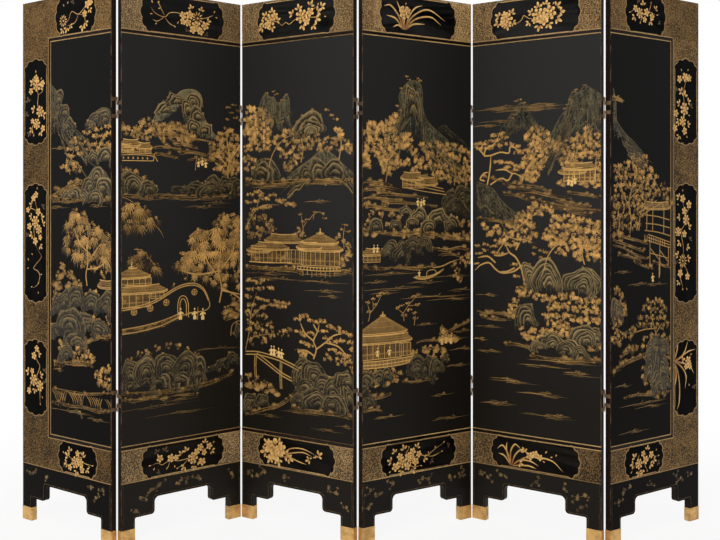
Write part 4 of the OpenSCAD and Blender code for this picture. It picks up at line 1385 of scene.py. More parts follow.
leafage(leaf, [(36, 1246), (74, 1236), (114, 1240), (150, 1228), (40, 1208), (86, 1200), (128, 1200),
    (162, 1190), (50, 1172), (96, 1170)], 27, 24, 0.2)
branches(leaf, [[(315, 1170), (319, 1210), (309, 1262)], [(319, 1210), (339, 1236)],
    [(349, 1240), (375, 1266), (403, 1272), (427, 1256)], [(375, 1266), (369, 1240)],
    [(519, 1130), (515, 1180), (523, 1220)]], 3.4, 0.4)
pine(leaf, [(307, 1262), (339, 1240), (319, 1232), (379, 1270), (419, 1264), (427, 1246), (523, 1222),
    (509, 1204), (535, 1196)], 13, 0.44)
leafage(leaf, [(295, 1196), (319, 1180), (489, 1176), (519, 1160), (539, 1140), (281, 1176)], 17, 18, 0.44)
roof(leaf, (220, 1152), 190, 28, 0.6, 0.4, 18)
roof(leaf, (150, 1122), 190, 24, 0.6, 0.42, 18)
roof(leaf, (90, 1110), 120, 20, 0.6, 0.38, 12)
roof(leaf, (404, 1150), 170, 36, 0.16, 0.5, 16)
lines(leaf, [[(404, 1182), (404, 1208)], [(396, 1192), (412, 1192)]], 3.6, 0.9)
roof(leaf, (404, 1122), 212, 26, 0.7, 0.52, 20)
roof(leaf, (349, 1128), 120, 22, 0.6, 0.55, 12)
house(leaf, (404, 1060), 186, 60, 8, 0.44)
house(leaf, (281, 1064), 80, 56, 4, 0.36)
house(leaf, (150, 1066), 200, 54, 9, 0.34)
lines(leaf, [[(40, 1066), (140, 1064), (260, 1068)], [(289, 1056), (399, 1052), (505, 1056)],
    [(289, 1044), (399, 1040), (505, 1044)]], 3.4, 0.8)
for k in range(14):
    lines(leaf, [[(276 + k * 16, 1042), (276 + k * 16, 1056)]], 3, 0.85)
plants(leaf, [(50, 1090), (80, 1074), (200, 1074), (230, 1080), (519, 1080), (539, 1100), (509, 1064)], 26,
    0.42)
bank(leaf, [(20, 1052), (140, 1046), (260, 1050), (319, 1038)], 22, 0.5, 10)
bank(leaf, [(449, 1046), (519, 1050), (560, 1042)], 16, 0.4, 4)
for x in range(319, 480, 22):
    lines(leaf, [[(x, 1040), (x, 1014 + x % 3 * 4)]], 4, 0.3)
streaks(leaf, [(140, 1020, 200), (409, 1024, 160), (200, 1000, 280), (419, 996, 200), (449, 940, 90),
    (419, 960, 160), (479, 1030, 120)], 0.3)
pine(leaf, [(40, 986), (80, 980), (120, 990), (50, 950), (100, 956), (150, 960), (40, 920), (90, 912),
    (140, 908), (190, 904), (232, 900), (50, 884), (110, 880), (170, 890), (210, 886)], 28, 0.42)
leafage(leaf, [(36, 852), (76, 846), (112, 836), (46, 812), (90, 800), (40, 776), (80, 762), (120, 780),
    (160, 772), (210, 778), (246, 786), (116, 742), (56, 736), (150, 804)], 24, 22, 0.4)
branches(leaf, [[(20, 700), (40, 780), (50, 860), (80, 940)], [(46, 830), (110, 880), (180, 900)],
    [(30, 740), (80, 760), (160, 775)]], 5, 0.38)
branches(leaf, [[(371, 690), (385, 730), (371, 762), (391, 800), (399, 830)],
    [(385, 730), (429, 760), (469, 790), (509, 800)], [(371, 762), (329, 790), (305, 830)],
    [(379, 700), (339, 720), (299, 720)], [(391, 800), (369, 830)], [(429, 760), (489, 750), (529, 720)]],
    8, 0.62)
pine(leaf, [(295, 842), (325, 856), (359, 840), (389, 836), (417, 842), (449, 824), (481, 820), (509, 806),
    (539, 796), (299, 792), (329, 780), (359, 790), (319, 750), (349, 742), (439, 776), (467, 764),
    (499, 770), (299, 716), (329, 706), (459, 732), (495, 722), (529, 716), (555, 742), (419, 800),
    (545, 768)], 26, 0.6)
leafage(leaf, [(519, 690), (549, 700), (489, 690), (555, 664), (319, 690), (439, 700)], 22, 22, 0.5)
lines(leaf, [[(20, 692), (80, 696), (140, 690), (200, 680), (260, 662), (309, 646)],
    [(20, 680), (80, 684), (140, 678), (200, 668), (260, 650), (299, 636)],
    [(80, 690), (140, 660), (210, 622), (275, 600)], [(80, 676), (140, 646), (210, 610), (270, 590)]], 4.5,
    0.62)
lines(leaf, [[(70, 684), (68, 640), (70, 600)], [(78, 684), (76, 640), (78, 600)],
    [(204, 670), (202, 610), (204, 556)], [(212, 668), (210, 610), (212, 556)], [(70, 640), (78, 640)],
    [(204, 590), (212, 590)]], 4, 0.5)
figures(leaf, [(156, 684), (172, 684), (196, 678), (210, 674)], 46)
rocks(leaf, [(319, 590, 110, 96), (371, 600, 130, 100), (329, 530, 120, 90), (409, 540, 120, 96),
    (479, 530, 120, 92), (539, 530, 90, 100), (369, 500, 150, 80), (469, 500, 150, 70), (519, 600, 110, 60),
    (289, 505, 70, 50)], 0.36, 4, 0.25)
leafage(leaf, [(36, 590), (80, 585), (120, 570), (150, 556), (56, 560), (100, 550)], 20, 18, 0.34)
plants(leaf, [(40, 540), (80, 536), (120, 546), (150, 530), (180, 520)], 30, 0.36)
rocks(leaf, [(50, 470, 90, 56), (110, 480, 90, 44), (30, 440, 60, 50)], 0.26, 2)
bank(leaf, [(20, 436), (70, 452), (120, 468), (180, 488), (240, 520), (289, 560)], 18, 0.34, 10)
bank(leaf, [(260, 494), (339, 488), (449, 492), (560, 488)], 18, 0.36, 8)
streaks(leaf, [(439, 415, 130), (319, 470, 180), (140, 440, 120), (519, 440, 70)], 0.22)


# ---- Picture on leaf 4 ----
# The tallest peak over massed gold trees and roofs, terraces of streaked banks and curled rock
# down to a moored boat, and an open pavilion on its platform by the water.

random.seed(104)
leaf = leaves[4]
crag(leaf, [(105, 1600), (152, 1616), (181, 1650), (190, 1700), (179, 1728), (200, 1764), (230, 1790),
    (264, 1796), (291, 1782), (300, 1740), (302, 1694), (321, 1644), (363, 1610), (426, 1570), (481, 1530),
    (521, 1512)],
    [(105, 1590), (152, 1590), (205, 1580), (236, 1570), (268, 1560), (310, 1540), (342, 1530), (426, 1520),
    (521, 1500)], 200, 90, 0.5, 0.36)
rock(leaf, (249, 1650), 92, 116, 0.5, 2, 0.05)
rock(leaf, (243, 1706), 66, 70, 0.56, 2, 0.05)
hatch(leaf, [(300, 1690), (321, 1640), (374, 1600), (448, 1556)], 46, 24, 1.6, 0.6)
pine(leaf, [(219, 1808), (230, 1796), (276, 1804), (289, 1796), (194, 1760), (205, 1742), (173, 1690),
    (186, 1672), (162, 1660)], 12, 0.45)
crag(leaf, [(376, 1606), (416, 1626), (448, 1604), (490, 1580), (543, 1550)],
    [(376, 1596), (426, 1586), (479, 1566), (543, 1540)], 30, 16, 0.9, 0.14)
leafage(leaf, [(46, 1606), (93, 1604), (135, 1624), (162, 1636), (25, 1582), (69, 1578), (114, 1586),
    (152, 1592), (36, 1546), (80, 1546), (122, 1552), (165, 1560), (200, 1562), (228, 1566), (29, 1512),
    (69, 1514), (110, 1518), (152, 1522), (192, 1530), (226, 1530), (78, 1486), (118, 1484), (158, 1490),
    (101, 1456), (141, 1456), (120, 1430), (10, 1480), (25, 1462), (173, 1462)], 27, 38, 0.76)
leafage(leaf, [(264, 1506), (304, 1530), (344, 1544), (386, 1540), (429, 1532), (471, 1536), (513, 1526),
    (553, 1512), (279, 1474), (321, 1496), (363, 1502), (407, 1498), (450, 1494), (492, 1490), (534, 1480),
    (569, 1482), (257, 1440), (302, 1456), (344, 1460), (386, 1462), (429, 1452), (471, 1446), (513, 1440),
    (555, 1446), (405, 1416), (448, 1408), (492, 1402), (536, 1404), (570, 1408), (228, 1464), (374, 1426)],
    27, 34, 0.62)
branches(leaf, [[(114, 1390), (120, 1440), (105, 1500), (120, 1560)], [(116, 1450), (67, 1500)],
    [(110, 1480), (162, 1520), (205, 1540)], [(374, 1400), (380, 1450), (405, 1510)],
    [(469, 1380), (473, 1430), (458, 1490)], [(532, 1380), (528, 1430), (543, 1480)]], 6, 0.42)
roof(leaf, (247, 1404), 110, 24, 0.7, 0.5, 12)
roof(leaf, (321, 1384), 110, 24, 0.7, 0.5, 12)
house(leaf, (253, 1368), 110, 34, 5, 0.4)
lines(leaf, [[(194, 1402), (279, 1388), (410, 1366)], [(200, 1388), (289, 1374), (416, 1354)],
    [(205, 1370), (300, 1356), (426, 1342)]], 3.4, 0.6)
for y, x0, x1 in ((1392, 0, 150), (1376, 20, 190), (1360, 0, 170), (1344, 60, 330), (1328, 0, 220),
        (1312, 90, 380), (1298, 0, 150), (1284, 60, 300), (1415, 260, 400)):
    bank(leaf, [(x0, y - 4), (x0 + 36, y + 3), ((x0 + x1) // 2, y), (x1, y - 12)], 12, 0.42, 4)
rocks(leaf, [(448, 1290, 110, 74), (511, 1290, 120, 90), (564, 1300, 80, 80), (479, 1270, 140, 60)], 0.24,
    4, 0.25)
figures(leaf, [(276, 1296), (293, 1292), (308, 1298)], 34)
for foot, width, height, shade in (((215, 1262), 70, 36, 0.6), ((281, 1240), 90, 48, 0.7),
        ((384, 1228), 120, 62, 0.6), ((162, 1212), 60, 34, 0.5), ((247, 1220), 70, 30, 0.6),
        ((331, 1200), 80, 40, 0.5), ((458, 1206), 90, 50, 0.4), ((67, 1200), 80, 50, 0.4)):
    rock(leaf, foot, width, height, shade, 2, random.uniform(-0.2, 0.2))
leafage(leaf, [(25, 1300), (67, 1292), (110, 1300), (42, 1264), (93, 1258), (141, 1262), (184, 1250),
    (25, 1226), (78, 1226), (131, 1220), (215, 1200), (268, 1190), (321, 1240), (352, 1260), (426, 1250),
    (469, 1240), (511, 1226), (553, 1220), (416, 1180), (469, 1170), (532, 1180), (569, 1190)], 21, 20,
    0.44)
bank(leaf, [(4, 1206), (88, 1196), (194, 1190), (300, 1196), (384, 1180)], 16, 0.46, 12)
bank(leaf, [(321, 1196), (405, 1176), (490, 1168), (575, 1156)], 18, 0.4, 12)
plants(leaf, [(15, 1180), (57, 1176), (162, 1180), (215, 1170), (279, 1176), (352, 1166), (426, 1160),
    (490, 1156), (553, 1150)], 26, 0.42)
rocks(leaf, [(131, 1096, 90, 66), (184, 1086, 110, 80), (247, 1110, 110, 66), (310, 1124, 90, 50)], 0.34, 4,
    0.25)
roof(leaf, (46, 1108), 96, 22, 0.5, 0.5, 10)
house(leaf, (46, 1078), 80, 30, 4, 0.4)
figures(leaf, [(55, 1112), (72, 1112)], 36)
bank(leaf, [(4, 1064), (88, 1054), (173, 1062), (279, 1052), (374, 1060)], 16, 0.44, 8)
bank(leaf, [(352, 1130), (426, 1120), (500, 1130), (575, 1110)], 14, 0.4, 6)
bank(leaf, [(384, 1098), (448, 1104), (500, 1092)], 10, 0.36, 2)
leafage(leaf, [(469, 1056), (507, 1072), (545, 1086), (570, 1100), (486, 1030), (532, 1054), (479, 1006),
    (498, 990), (564, 1060)], 20, 22, 0.56)
brush(leaf, "gilt_strokes", [(253, 1012), (300, 1004), (352, 1012), (410, 1034)], 9, 0.62)
lines(leaf, [[(264, 1016), (310, 1012), (363, 1020), (412, 1040)], [(321, 1014), (327, 1034), (363, 1038),
    (374, 1022)]], 2.6, 0.8)
brush(leaf, "gilt_strokes", [(352, 1046), (405, 1052), (448, 1066), (500, 1078)], 5, 0.6)
figures(leaf, [(283, 1014)], 28)
streaks(leaf, [(152, 1030, 220), (458, 1008, 180), (162, 970, 260), (110, 955, 120), (374, 930, 300),
    (448, 915, 200), (511, 950, 120), (321, 990, 160), (67, 1000, 100)], 0.34)
branches(leaf, [[(29, 850), (36, 880), (25, 920)], [(36, 880), (67, 910), (93, 950)],
    [(53, 896), (50, 930)], [(205, 840), (200, 870), (173, 890)], [(200, 870), (226, 900), (262, 930)],
    [(226, 900), (274, 900)], [(257, 820), (262, 860)]], 3.6, 0.5)
pine(leaf, [(25, 922), (50, 934), (78, 944), (95, 954), (65, 912), (29, 886), (173, 892), (192, 900),
    (226, 908), (257, 934), (281, 940), (274, 900), (230, 882), (257, 868), (264, 846), (205, 862)], 16,
    0.5)
lines(leaf, [[(99, 862), (99, 884)], [(91, 872), (107, 872)]], 4, 0.9)
roof(leaf, (99, 800), 236, 66, 0.08, 0.66, 26)
roof(leaf, (114, 764), 256, 26, 0.84, 0.62, 26)
house(leaf, (93, 700), 196, 62, 7, 0.6)
house(leaf, (211, 704), 56, 50, 3, 0.5)
lines(leaf, [[(4, 694), (110, 692), (249, 698)], [(4, 680), (110, 678), (243, 684)],
    [(4, 668), (99, 666), (215, 672), (249, 692)]], 4, 0.8)
veil(leaf, "thin_gold", [(4, 694), (120, 692), (249, 698)], [(4, 668), (110, 666), (238, 674)], 0.4, 2)
for k in range(12):
    lines(leaf, [[(8 + k * 19, 668), (8 + k * 19, 692)]], 2.4, 0.7)
figures(leaf, [(72, 708), (131, 708)], 40, 0.9)
rocks(leaf, [(268, 620, 110, 80), (321, 620, 90, 76), (374, 620, 90, 64), (300, 600, 150, 50),
    (416, 660, 50, 36)], 0.28, 3, 0.25)
leafage(leaf, [(268, 712), (306, 716), (342, 722), (380, 718), (412, 704), (363, 690), (405, 680)], 16, 16,
    0.42)
plants(leaf, [(257, 700), (321, 706), (374, 700), (405, 690)], 26, 0.42)
rocks(leaf, [(25, 600, 80, 70), (78, 600, 80, 60), (120, 610, 60, 50), (36, 520, 70, 56),
    (15, 560, 60, 60)], 0.28, 2, 0.2)
leafage(leaf, [(25, 650), (67, 648), (110, 640), (152, 646), (184, 632), (141, 620), (67, 610)], 18, 18,
    0.46)
plants(leaf, [(67, 590), (120, 590), (162, 600)], 28, 0.4)
bank(leaf, [(194, 606), (257, 598), (321, 604), (384, 600)], 12, 0.36, 4)
bank(leaf, [(25, 562), (78, 556), (141, 566)], 14, 0.34, 4)
bank(leaf, [(4, 508), (57, 512), (99, 500)], 12, 0.34, 4)
bank(leaf, [(268, 752), (331, 760), (395, 748)], 10, 0.42, 4)
plants(leaf, [(401, 742), (422, 740), (445, 738), (464, 736), (412, 776)], 34, 0.56)
figures(leaf, [(403, 730), (424, 734), (452, 730)], 42, 0.75)
bank(leaf, [(422, 780), (469, 800), (532, 818), (575, 834)], 12, 0.42, 4)
streaks(leaf, [(521, 706, 130), (426, 752, 200), (511, 780, 100), (405, 528, 100), (448, 430, 160),
    (352, 660, 80), (131, 470, 120), (490, 640, 110), (321, 820, 90)], 0.34)


# ---- Picture on leaf 5 ----
# Clouds round a dark hill and a craggy range, spreading pines, massed gold trees over two big
# rocks with many folds, and an open lake that fills the foot of the leaf.

random.seed(105)
leaf = leaves[5]
streaks(leaf, [(221, 1690, 340), (261, 1680, 260), (110, 1640, 140), (70, 1625, 110), (150, 1697, 150),
    (322, 1700, 100)], 0.16, 4)
crag(leaf, [(124, 1600), (150, 1630), (170, 1660), (197, 1690), (221, 1712), (237, 1704), (253, 1686),
    (280, 1640), (312, 1610), (346, 1590)],
    [(124, 1588), (181, 1584), (241, 1586), (292, 1584), (346, 1582)], 110, 44, 0.6, 0.22)
pine(leaf, [(201, 1716), (219, 1722), (233, 1708), (181, 1650), (193, 1664)], 13, 0.4)
crag(leaf, [(340, 1556), (366, 1600), (389, 1640), (419, 1676), (431, 1716), (447, 1744), (469, 1736),
    (494, 1760), (516, 1752), (540, 1738), (565, 1722)],
    [(340, 1550), (383, 1552), (423, 1556), (474, 1560), (524, 1560), (565, 1564)], 190, 100, 0.5, 0.3)
hatch(leaf, [(352, 1580), (393, 1640), (433, 1690), (494, 1720), (565, 1690)], 120, 50, 0.6, 0.35)
pine(leaf, [(423, 1690), (411, 1674), (431, 1708), (447, 1738), (459, 1746), (494, 1762)], 11, 0.42)
pine(leaf, [(25, 1552), (53, 1548), (80, 1560), (108, 1582), (136, 1588), (116, 1562), (150, 1572),
    (173, 1546), (201, 1534), (225, 1518), (211, 1508), (80, 1536), (49, 1530), (120, 1540), (116, 1476),
    (144, 1470), (175, 1468), (205, 1456), (227, 1450), (160, 1450), (193, 1438), (29, 1536)], 25, 0.66)
branches(leaf, [[(69, 1383), (77, 1419), (83, 1456), (86, 1503)], [(86, 1503), (57, 1504), (63, 1530),
    (101, 1550), (125, 1585)], [(86, 1503), (130, 1515), (168, 1511), (177, 1537), (223, 1514)],
    [(60, 1499), (30, 1531), (12, 1542)], [(57, 1399), (36, 1407), (54, 1430), (77, 1435)],
    [(83, 1383), (130, 1408), (165, 1400), (188, 1428), (228, 1412)],
    [(183, 1428), (148, 1444), (107, 1442)]], 8, 0.72)
leafage(leaf, [(267, 1596), (302, 1600), (257, 1566), (292, 1572), (328, 1576), (272, 1540), (308, 1546),
    (344, 1548), (257, 1512), (294, 1514), (330, 1516), (362, 1524), (247, 1482), (282, 1488), (318, 1486),
    (241, 1454), (272, 1458), (310, 1452), (253, 1424), (284, 1420), (235, 1410), (272, 1400)], 25, 34, 0.7)
leafage(leaf, [(383, 1548), (415, 1536), (447, 1548), (480, 1566), (508, 1586), (500, 1552), (532, 1560),
    (560, 1566), (389, 1514), (423, 1506), (459, 1520), (494, 1520), (528, 1528), (559, 1532), (409, 1476),
    (443, 1480), (480, 1488), (514, 1492), (548, 1498), (423, 1452), (463, 1456), (554, 1462), (560, 1430),
    (548, 1400)], 25, 30, 0.58)
branches(leaf, [[(261, 1390), (272, 1440), (284, 1500), (292, 1570)], [(272, 1440), (312, 1480)],
    [(443, 1400), (453, 1450), (463, 1510), (494, 1560)], [(459, 1470), (423, 1500)],
    [(534, 1390), (538, 1440), (544, 1500)]], 5, 0.5)
roof(leaf, (476, 1440), 130, 22, 0.7, 0.5, 14)
roof(leaf, (443, 1426), 110, 16, 0.7, 0.45, 12)
house(leaf, (474, 1392), 130, 44, 6, 0.5)
figures(leaf, [(427, 1376), (441, 1372), (455, 1380)], 38)
plants(leaf, [(494, 1370), (524, 1380), (554, 1366), (403, 1374)], 26, 0.5)
for shore, depth in (([(140, 1392), (221, 1384), (302, 1376), (362, 1352)], 14), ([(170, 1372), (251, 1366),
        (342, 1344), (443, 1330)], 14), ([(211, 1350), (322, 1346), (423, 1314), (524, 1300)], 16),
        ([(251, 1330), (352, 1310), (453, 1292), (565, 1284)], 16),
        ([(362, 1290), (443, 1276), (524, 1266)], 12), ([(423, 1352), (494, 1346), (565, 1330)], 14),
        ([(140, 1350), (201, 1344), (261, 1320)], 12), ([(39, 1420), (100, 1410), (160, 1400)], 10)):
    bank(leaf, shore, depth, 0.3, 6)
crag(leaf, [(19, 1398), (59, 1384), (96, 1366), (124, 1330), (160, 1296), (193, 1272), (221, 1252)],
    [(19, 1244), (59, 1240), (100, 1236), (140, 1238), (181, 1240), (221, 1240)], 140, 60, 0.9, 0.3)
hatch(leaf, [(19, 1330), (70, 1310), (110, 1290), (150, 1262)], 70, 26, 0.9, 0.3)
bank(leaf, [(19, 1250), (90, 1244), (160, 1236), (221, 1232)], 16, 0.4, 6)
leafage(leaf, [(284, 1296), (322, 1290), (352, 1278), (257, 1280), (302, 1264), (227, 1262), (261, 1246),
    (201, 1240), (233, 1228), (267, 1218), (170, 1216), (205, 1206), (241, 1196), (280, 1186), (140, 1186),
    (173, 1178), (211, 1168), (249, 1160), (120, 1150), (154, 1144), (191, 1136), (110, 1200), (80, 1180),
    (59, 1210)], 23, 32, 0.7)
leafage(leaf, [(368, 1240), (403, 1250), (439, 1246), (474, 1238), (510, 1228), (544, 1222), (352, 1206),
    (389, 1212), (425, 1212), (461, 1206), (498, 1196), (534, 1190), (560, 1196), (338, 1172), (375, 1176),
    (411, 1176), (447, 1170), (484, 1164), (520, 1158), (554, 1160), (362, 1140), (399, 1142), (435, 1136),
    (471, 1130), (508, 1126), (544, 1128), (393, 1110), (463, 1100), (524, 1096), (560, 1100)], 25, 34,
    0.72)
branches(leaf, [[(110, 1100), (150, 1150), (201, 1200), (261, 1250), (322, 1280)],
    [(322, 1040), (342, 1100), (383, 1150), (443, 1200)], [(383, 1150), (352, 1190)],
    [(494, 1070), (484, 1120), (504, 1180)], [(170, 1170), (221, 1160), (272, 1176)]], 6, 0.6)
pine(leaf, [(284, 1130), (312, 1118), (278, 1104), (308, 1092), (332, 1110)], 15, 0.6)
for foot, width, height, lean in (((284, 978), 92, 92, -0.12), ((332, 968), 148, 116, 0.14),
        ((524, 978), 84, 84, 0.1), ((468, 964), 146, 104, 0.16)):
    rock(leaf, foot, width, height, 0.62, 6, lean)
branches(leaf, [[(237, 997), (223, 1048), (200, 1088), (171, 1108), (154, 1138)],
    [(200, 1119), (217, 1150)], [(228, 1058), (188, 1031), (136, 1024), (107, 1038), (77, 1063), (36, 1051),
    (12, 1029)], [(194, 1046), (159, 1030), (125, 1028)], [(107, 1064), (71, 1089), (24, 1082)],
    [(101, 1095), (130, 1094), (171, 1108)], [(237, 997), (246, 960), (232, 930)]], 9, 0.66)
pine(leaf, [(29, 1098), (59, 1112), (96, 1104), (130, 1100), (30, 1130), (64, 1136), (100, 1128),
    (201, 1010), (235, 1000), (221, 966), (251, 980), (190, 1058), (12, 1056)], 20, 0.56)
leafage(leaf, [(217, 940), (251, 946), (286, 936), (322, 930), (362, 926), (399, 936), (433, 944),
    (463, 934), (500, 926), (534, 934), (560, 930), (201, 906), (352, 894), (389, 898), (425, 904),
    (461, 896), (498, 890), (534, 896), (560, 890), (332, 860), (368, 862), (405, 866), (441, 860),
    (478, 854), (514, 856), (548, 856), (352, 828), (389, 830), (423, 826), (322, 800), (362, 796),
    (399, 798), (181, 880), (170, 850), (272, 800), (241, 780), (282, 770), (433, 790), (312, 770)], 23, 32,
    0.7)
for foot, width, height, lean in (((243, 822), 112, 98, 0.14), ((544, 770), 70, 70, 0.1),
        ((489, 756), 136, 80, 0.15), ((352, 736), 120, 60, 0.1), ((420, 724), 104, 52, -0.1),
        ((302, 726), 80, 36, 0.1), ((474, 718), 84, 36, 0.1)):
    rock(leaf, foot, width, height, 0.55, 4, lean)
plants(leaf, [(201, 840), (221, 800), (251, 760), (292, 736), (352, 740), (403, 736), (453, 740),
    (524, 740), (554, 750)], 26, 0.54)
bank(leaf, [(19, 866), (70, 856), (130, 864), (191, 850)], 12, 0.36, 10)
bank(leaf, [(39, 842), (110, 836), (181, 840)], 10, 0.3, 4)
bank(leaf, [(150, 738), (201, 744), (261, 732), (302, 716)], 14, 0.4, 6)
bank(leaf, [(261, 704), (352, 698), (453, 706), (565, 712)], 18, 0.46, 10)
streaks(leaf, [(70, 930, 90), (80, 800, 110), (39, 745, 60), (403, 684, 240), (322, 660, 180),
    (463, 648, 90), (484, 640, 130), (150, 592, 110), (191, 584, 180), (342, 552, 90), (312, 546, 180),
    (140, 494, 110), (110, 486, 120), (383, 470, 90), (342, 462, 200), (80, 700, 100)], 0.36)


# ---- Picture on leaf 6 ----
# The right end: the range runs out in cloud, a grove hangs over a verandah on posts, a lone
# figure stands in the shallows, and trees and folded rocks close the picture above the water.

random.seed(106)
leaf = leaves[6]
crag(leaf, [(14, 1664), (39, 1622), (68, 1592), (102, 1568), (150, 1540), (205, 1502)],
    [(14, 1560), (56, 1550), (102, 1536), (150, 1516), (205, 1494)], 90, 40, 0.9, 0.3)
hatch(leaf, [(14, 1650), (56, 1600), (108, 1560), (171, 1520)], 40, 20, 1.7, 0.4)
crag(leaf, [(14, 1750), (22, 1728), (31, 1690), (35, 1640)],
    [(14, 1600), (20, 1600), (27, 1600), (33, 1596)], 60, 10, 0.5, 0.4)
streaks(leaf, [(39, 1712, 50), (45, 1702, 60)], 0.3, 8)
leafage(leaf, [(209, 1476), (177, 1462), (144, 1476), (108, 1452), (73, 1446), (39, 1436), (219, 1442),
    (186, 1430), (148, 1436), (249, 1430), (276, 1400), (234, 1402), (198, 1396), (161, 1400), (123, 1416),
    (85, 1410), (48, 1400), (266, 1372), (230, 1368), (192, 1360), (154, 1364), (117, 1376), (79, 1370),
    (41, 1362), (289, 1350)], 26, 28, 0.46)
leafage(leaf, [(24, 1326), (60, 1332), (98, 1336), (136, 1330), (173, 1326), (211, 1330), (247, 1330),
    (39, 1292), (79, 1296), (119, 1296), (159, 1290), (192, 1294), (27, 1256), (64, 1258), (104, 1256),
    (144, 1252), (177, 1256), (35, 1222), (77, 1220), (119, 1216), (161, 1214), (24, 1186), (60, 1188),
    (328, 1376), (360, 1352), (339, 1330), (370, 1310), (328, 1300)], 26, 26, 0.4)
branches(leaf, [[(115, 1190), (123, 1240), (110, 1300), (129, 1370), (161, 1440)],
    [(119, 1280), (77, 1340), (56, 1390)], [(123, 1330), (182, 1370), (224, 1420)],
    [(171, 1200), (182, 1270), (224, 1330)], [(45, 1180), (52, 1240), (41, 1300)]], 6, 0.42)
lines(leaf, [[(171, 1270), (219, 1290), (282, 1318)], [(192, 1262), (255, 1286), (318, 1310)],
    [(207, 1200), (289, 1192), (370, 1176)], [(207, 1262), (289, 1254), (366, 1240)],
    [(219, 1200), (222, 1290)], [(257, 1196), (259, 1300)], [(328, 1186), (330, 1290)],
    [(213, 1228), (289, 1222), (368, 1208)]], 4, 0.5)
roof(leaf, (289, 1288), 160, 22, 0.8, 0.42, 14)
lines(leaf, [[(228, 1184), (289, 1170), (370, 1150)], [(228, 1160), (289, 1146), (370, 1128)],
    [(228, 1172), (289, 1158), (370, 1139)]], 3, 0.62)
for k in range(10):
    lines(leaf, [[(208 + k * 14, 1184 - k * 3), (208 + k * 14, 1160 - k * 3)]], 3, 0.62)
lines(leaf, [[(240, 1160), (240, 1060)], [(303, 1150), (303, 1020)], [(360, 1134), (360, 1060)],
    [(240, 1110), (303, 1098), (360, 1086)], [(240, 1130), (303, 1080)], [(303, 1120), (360, 1070)]], 4,
    0.46)
for shore in ([(14, 1196), (87, 1180), (161, 1166), (230, 1150)], [(14, 1170), (98, 1150), (203, 1122)],
              [(14, 1150), (77, 1136), (171, 1104), (234, 1090)], [(35, 1112), (108, 1106), (192, 1080)],
              [(255, 1080), (318, 1064), (381, 1052)], [(140, 1080), (213, 1062), (266, 1050)]):
    bank(leaf, shore, 12, 0.36, 4)
figures(leaf, [(259, 994)], 40, 0.85)
lines(leaf, [[(299, 1010), (299, 1060)]], 4, 0.7)
streaks(leaf, [(171, 990, 110), (286, 984, 110), (77, 1040, 90)], 0.26)
leafage(leaf, [(35, 968), (64, 950), (81, 916), (45, 926), (24, 900), (62, 884), (87, 880), (35, 866),
    (60, 846), (29, 834), (43, 804), (22, 780), (56, 770)], 23, 24, 0.4)
rock(leaf, (45, 860), 80, 90, 0.34, 3)
leafage(leaf, [(224, 916), (259, 908), (289, 918), (314, 902), (203, 888), (240, 884), (276, 880),
    (312, 872), (335, 886), (182, 856), (219, 852), (257, 850), (295, 846), (328, 846), (171, 826),
    (207, 820), (245, 820), (282, 816), (318, 816), (349, 820), (140, 812), (108, 806), (77, 794),
    (123, 786)], 20, 20, 0.36)
branches(leaf, [[(289, 720), (282, 770), (266, 820), (240, 880)], [(278, 790), (318, 830)],
    [(266, 810), (203, 810), (129, 800)]], 6, 0.42)
rocks(leaf, [(236, 610, 80, 130), (247, 690, 70, 70), (318, 620, 100, 120), (339, 700, 80, 80),
    (297, 560, 100, 80), (349, 560, 60, 90), (276, 740, 60, 40)], 0.34, 4, 0.2)
leafage(leaf, [(213, 770), (251, 776), (289, 776), (328, 770), (360, 760), (198, 740), (360, 724),
    (207, 706), (360, 690), (194, 620), (219, 600), (247, 590), (276, 570), (318, 560), (349, 570),
    (203, 650), (360, 640), (289, 540), (328, 536)], 19, 20, 0.4)
bank(leaf, [(14, 656), (56, 682), (98, 700), (161, 708), (213, 720)], 20, 0.34, 12)
bank(leaf, [(56, 716), (108, 740), (171, 752)], 16, 0.3, 6)
leafage(leaf, [(87, 726), (129, 730), (161, 740), (108, 750), (66, 690)], 17, 16, 0.28)
bank(leaf, [(77, 558), (171, 562), (266, 552), (370, 556)], 12, 0.32, 6)
streaks(leaf, [(203, 520, 240), (245, 504, 160), (140, 416, 160), (77, 600, 90)], 0.24)


# ---- Apron ----
# Below the border the apron is plain black lacquer. A thin dull gold line follows the stepped
# opening and the feet, and worn star flowers and sprigs are scattered above the feet.

opening_foot_w = 60
opening_step = (148, 96)
opening_top = 161
sabot_top = 56
line_inset = 7
opening_line_w = 2.4
foot_line_w = 1.2
corner_cut = 9
sprig_places = {1: [(48, 196), (84, 206), (158, 196), (470, 168), (512, 206), (440, 204)],
                2: [(84, 168), (132, 190), (170, 204), (352, 204), (300, 208), (516, 190),
                    (66, 120), (250, 196)],
                3: [(36, 196), (84, 186), (120, 206), (226, 204), (480, 178), (446, 196), (530, 130)],
                4: [(66, 170), (40, 196), (150, 206), (300, 204), (330, 196), (444, 190),
                    (500, 180), (520, 206), (30, 130)],
                5: [(40, 198), (72, 180), (130, 200), (290, 196), (410, 190), (466, 160), (496, 180),
                    (480, 130)],
                6: [(50, 160), (76, 190), (120, 206), (250, 196), (410, 204), (440, 190), (512, 196)]}

apron_gilt, place = start_material("apron_gilt")
rubbed_away = (place.noise(60, 4, 0.65) + place.noise(500, 2, 0.6) * 0.5).fade(0.55, 0.95)
coat(place, {"Base Color": rubbed_away.mix(tone(150, 120, 76), tone(52, 42, 29)),
             "Roughness": rubbed_away * 0.1 + 0.42, "Specular IOR Level": 0.15})


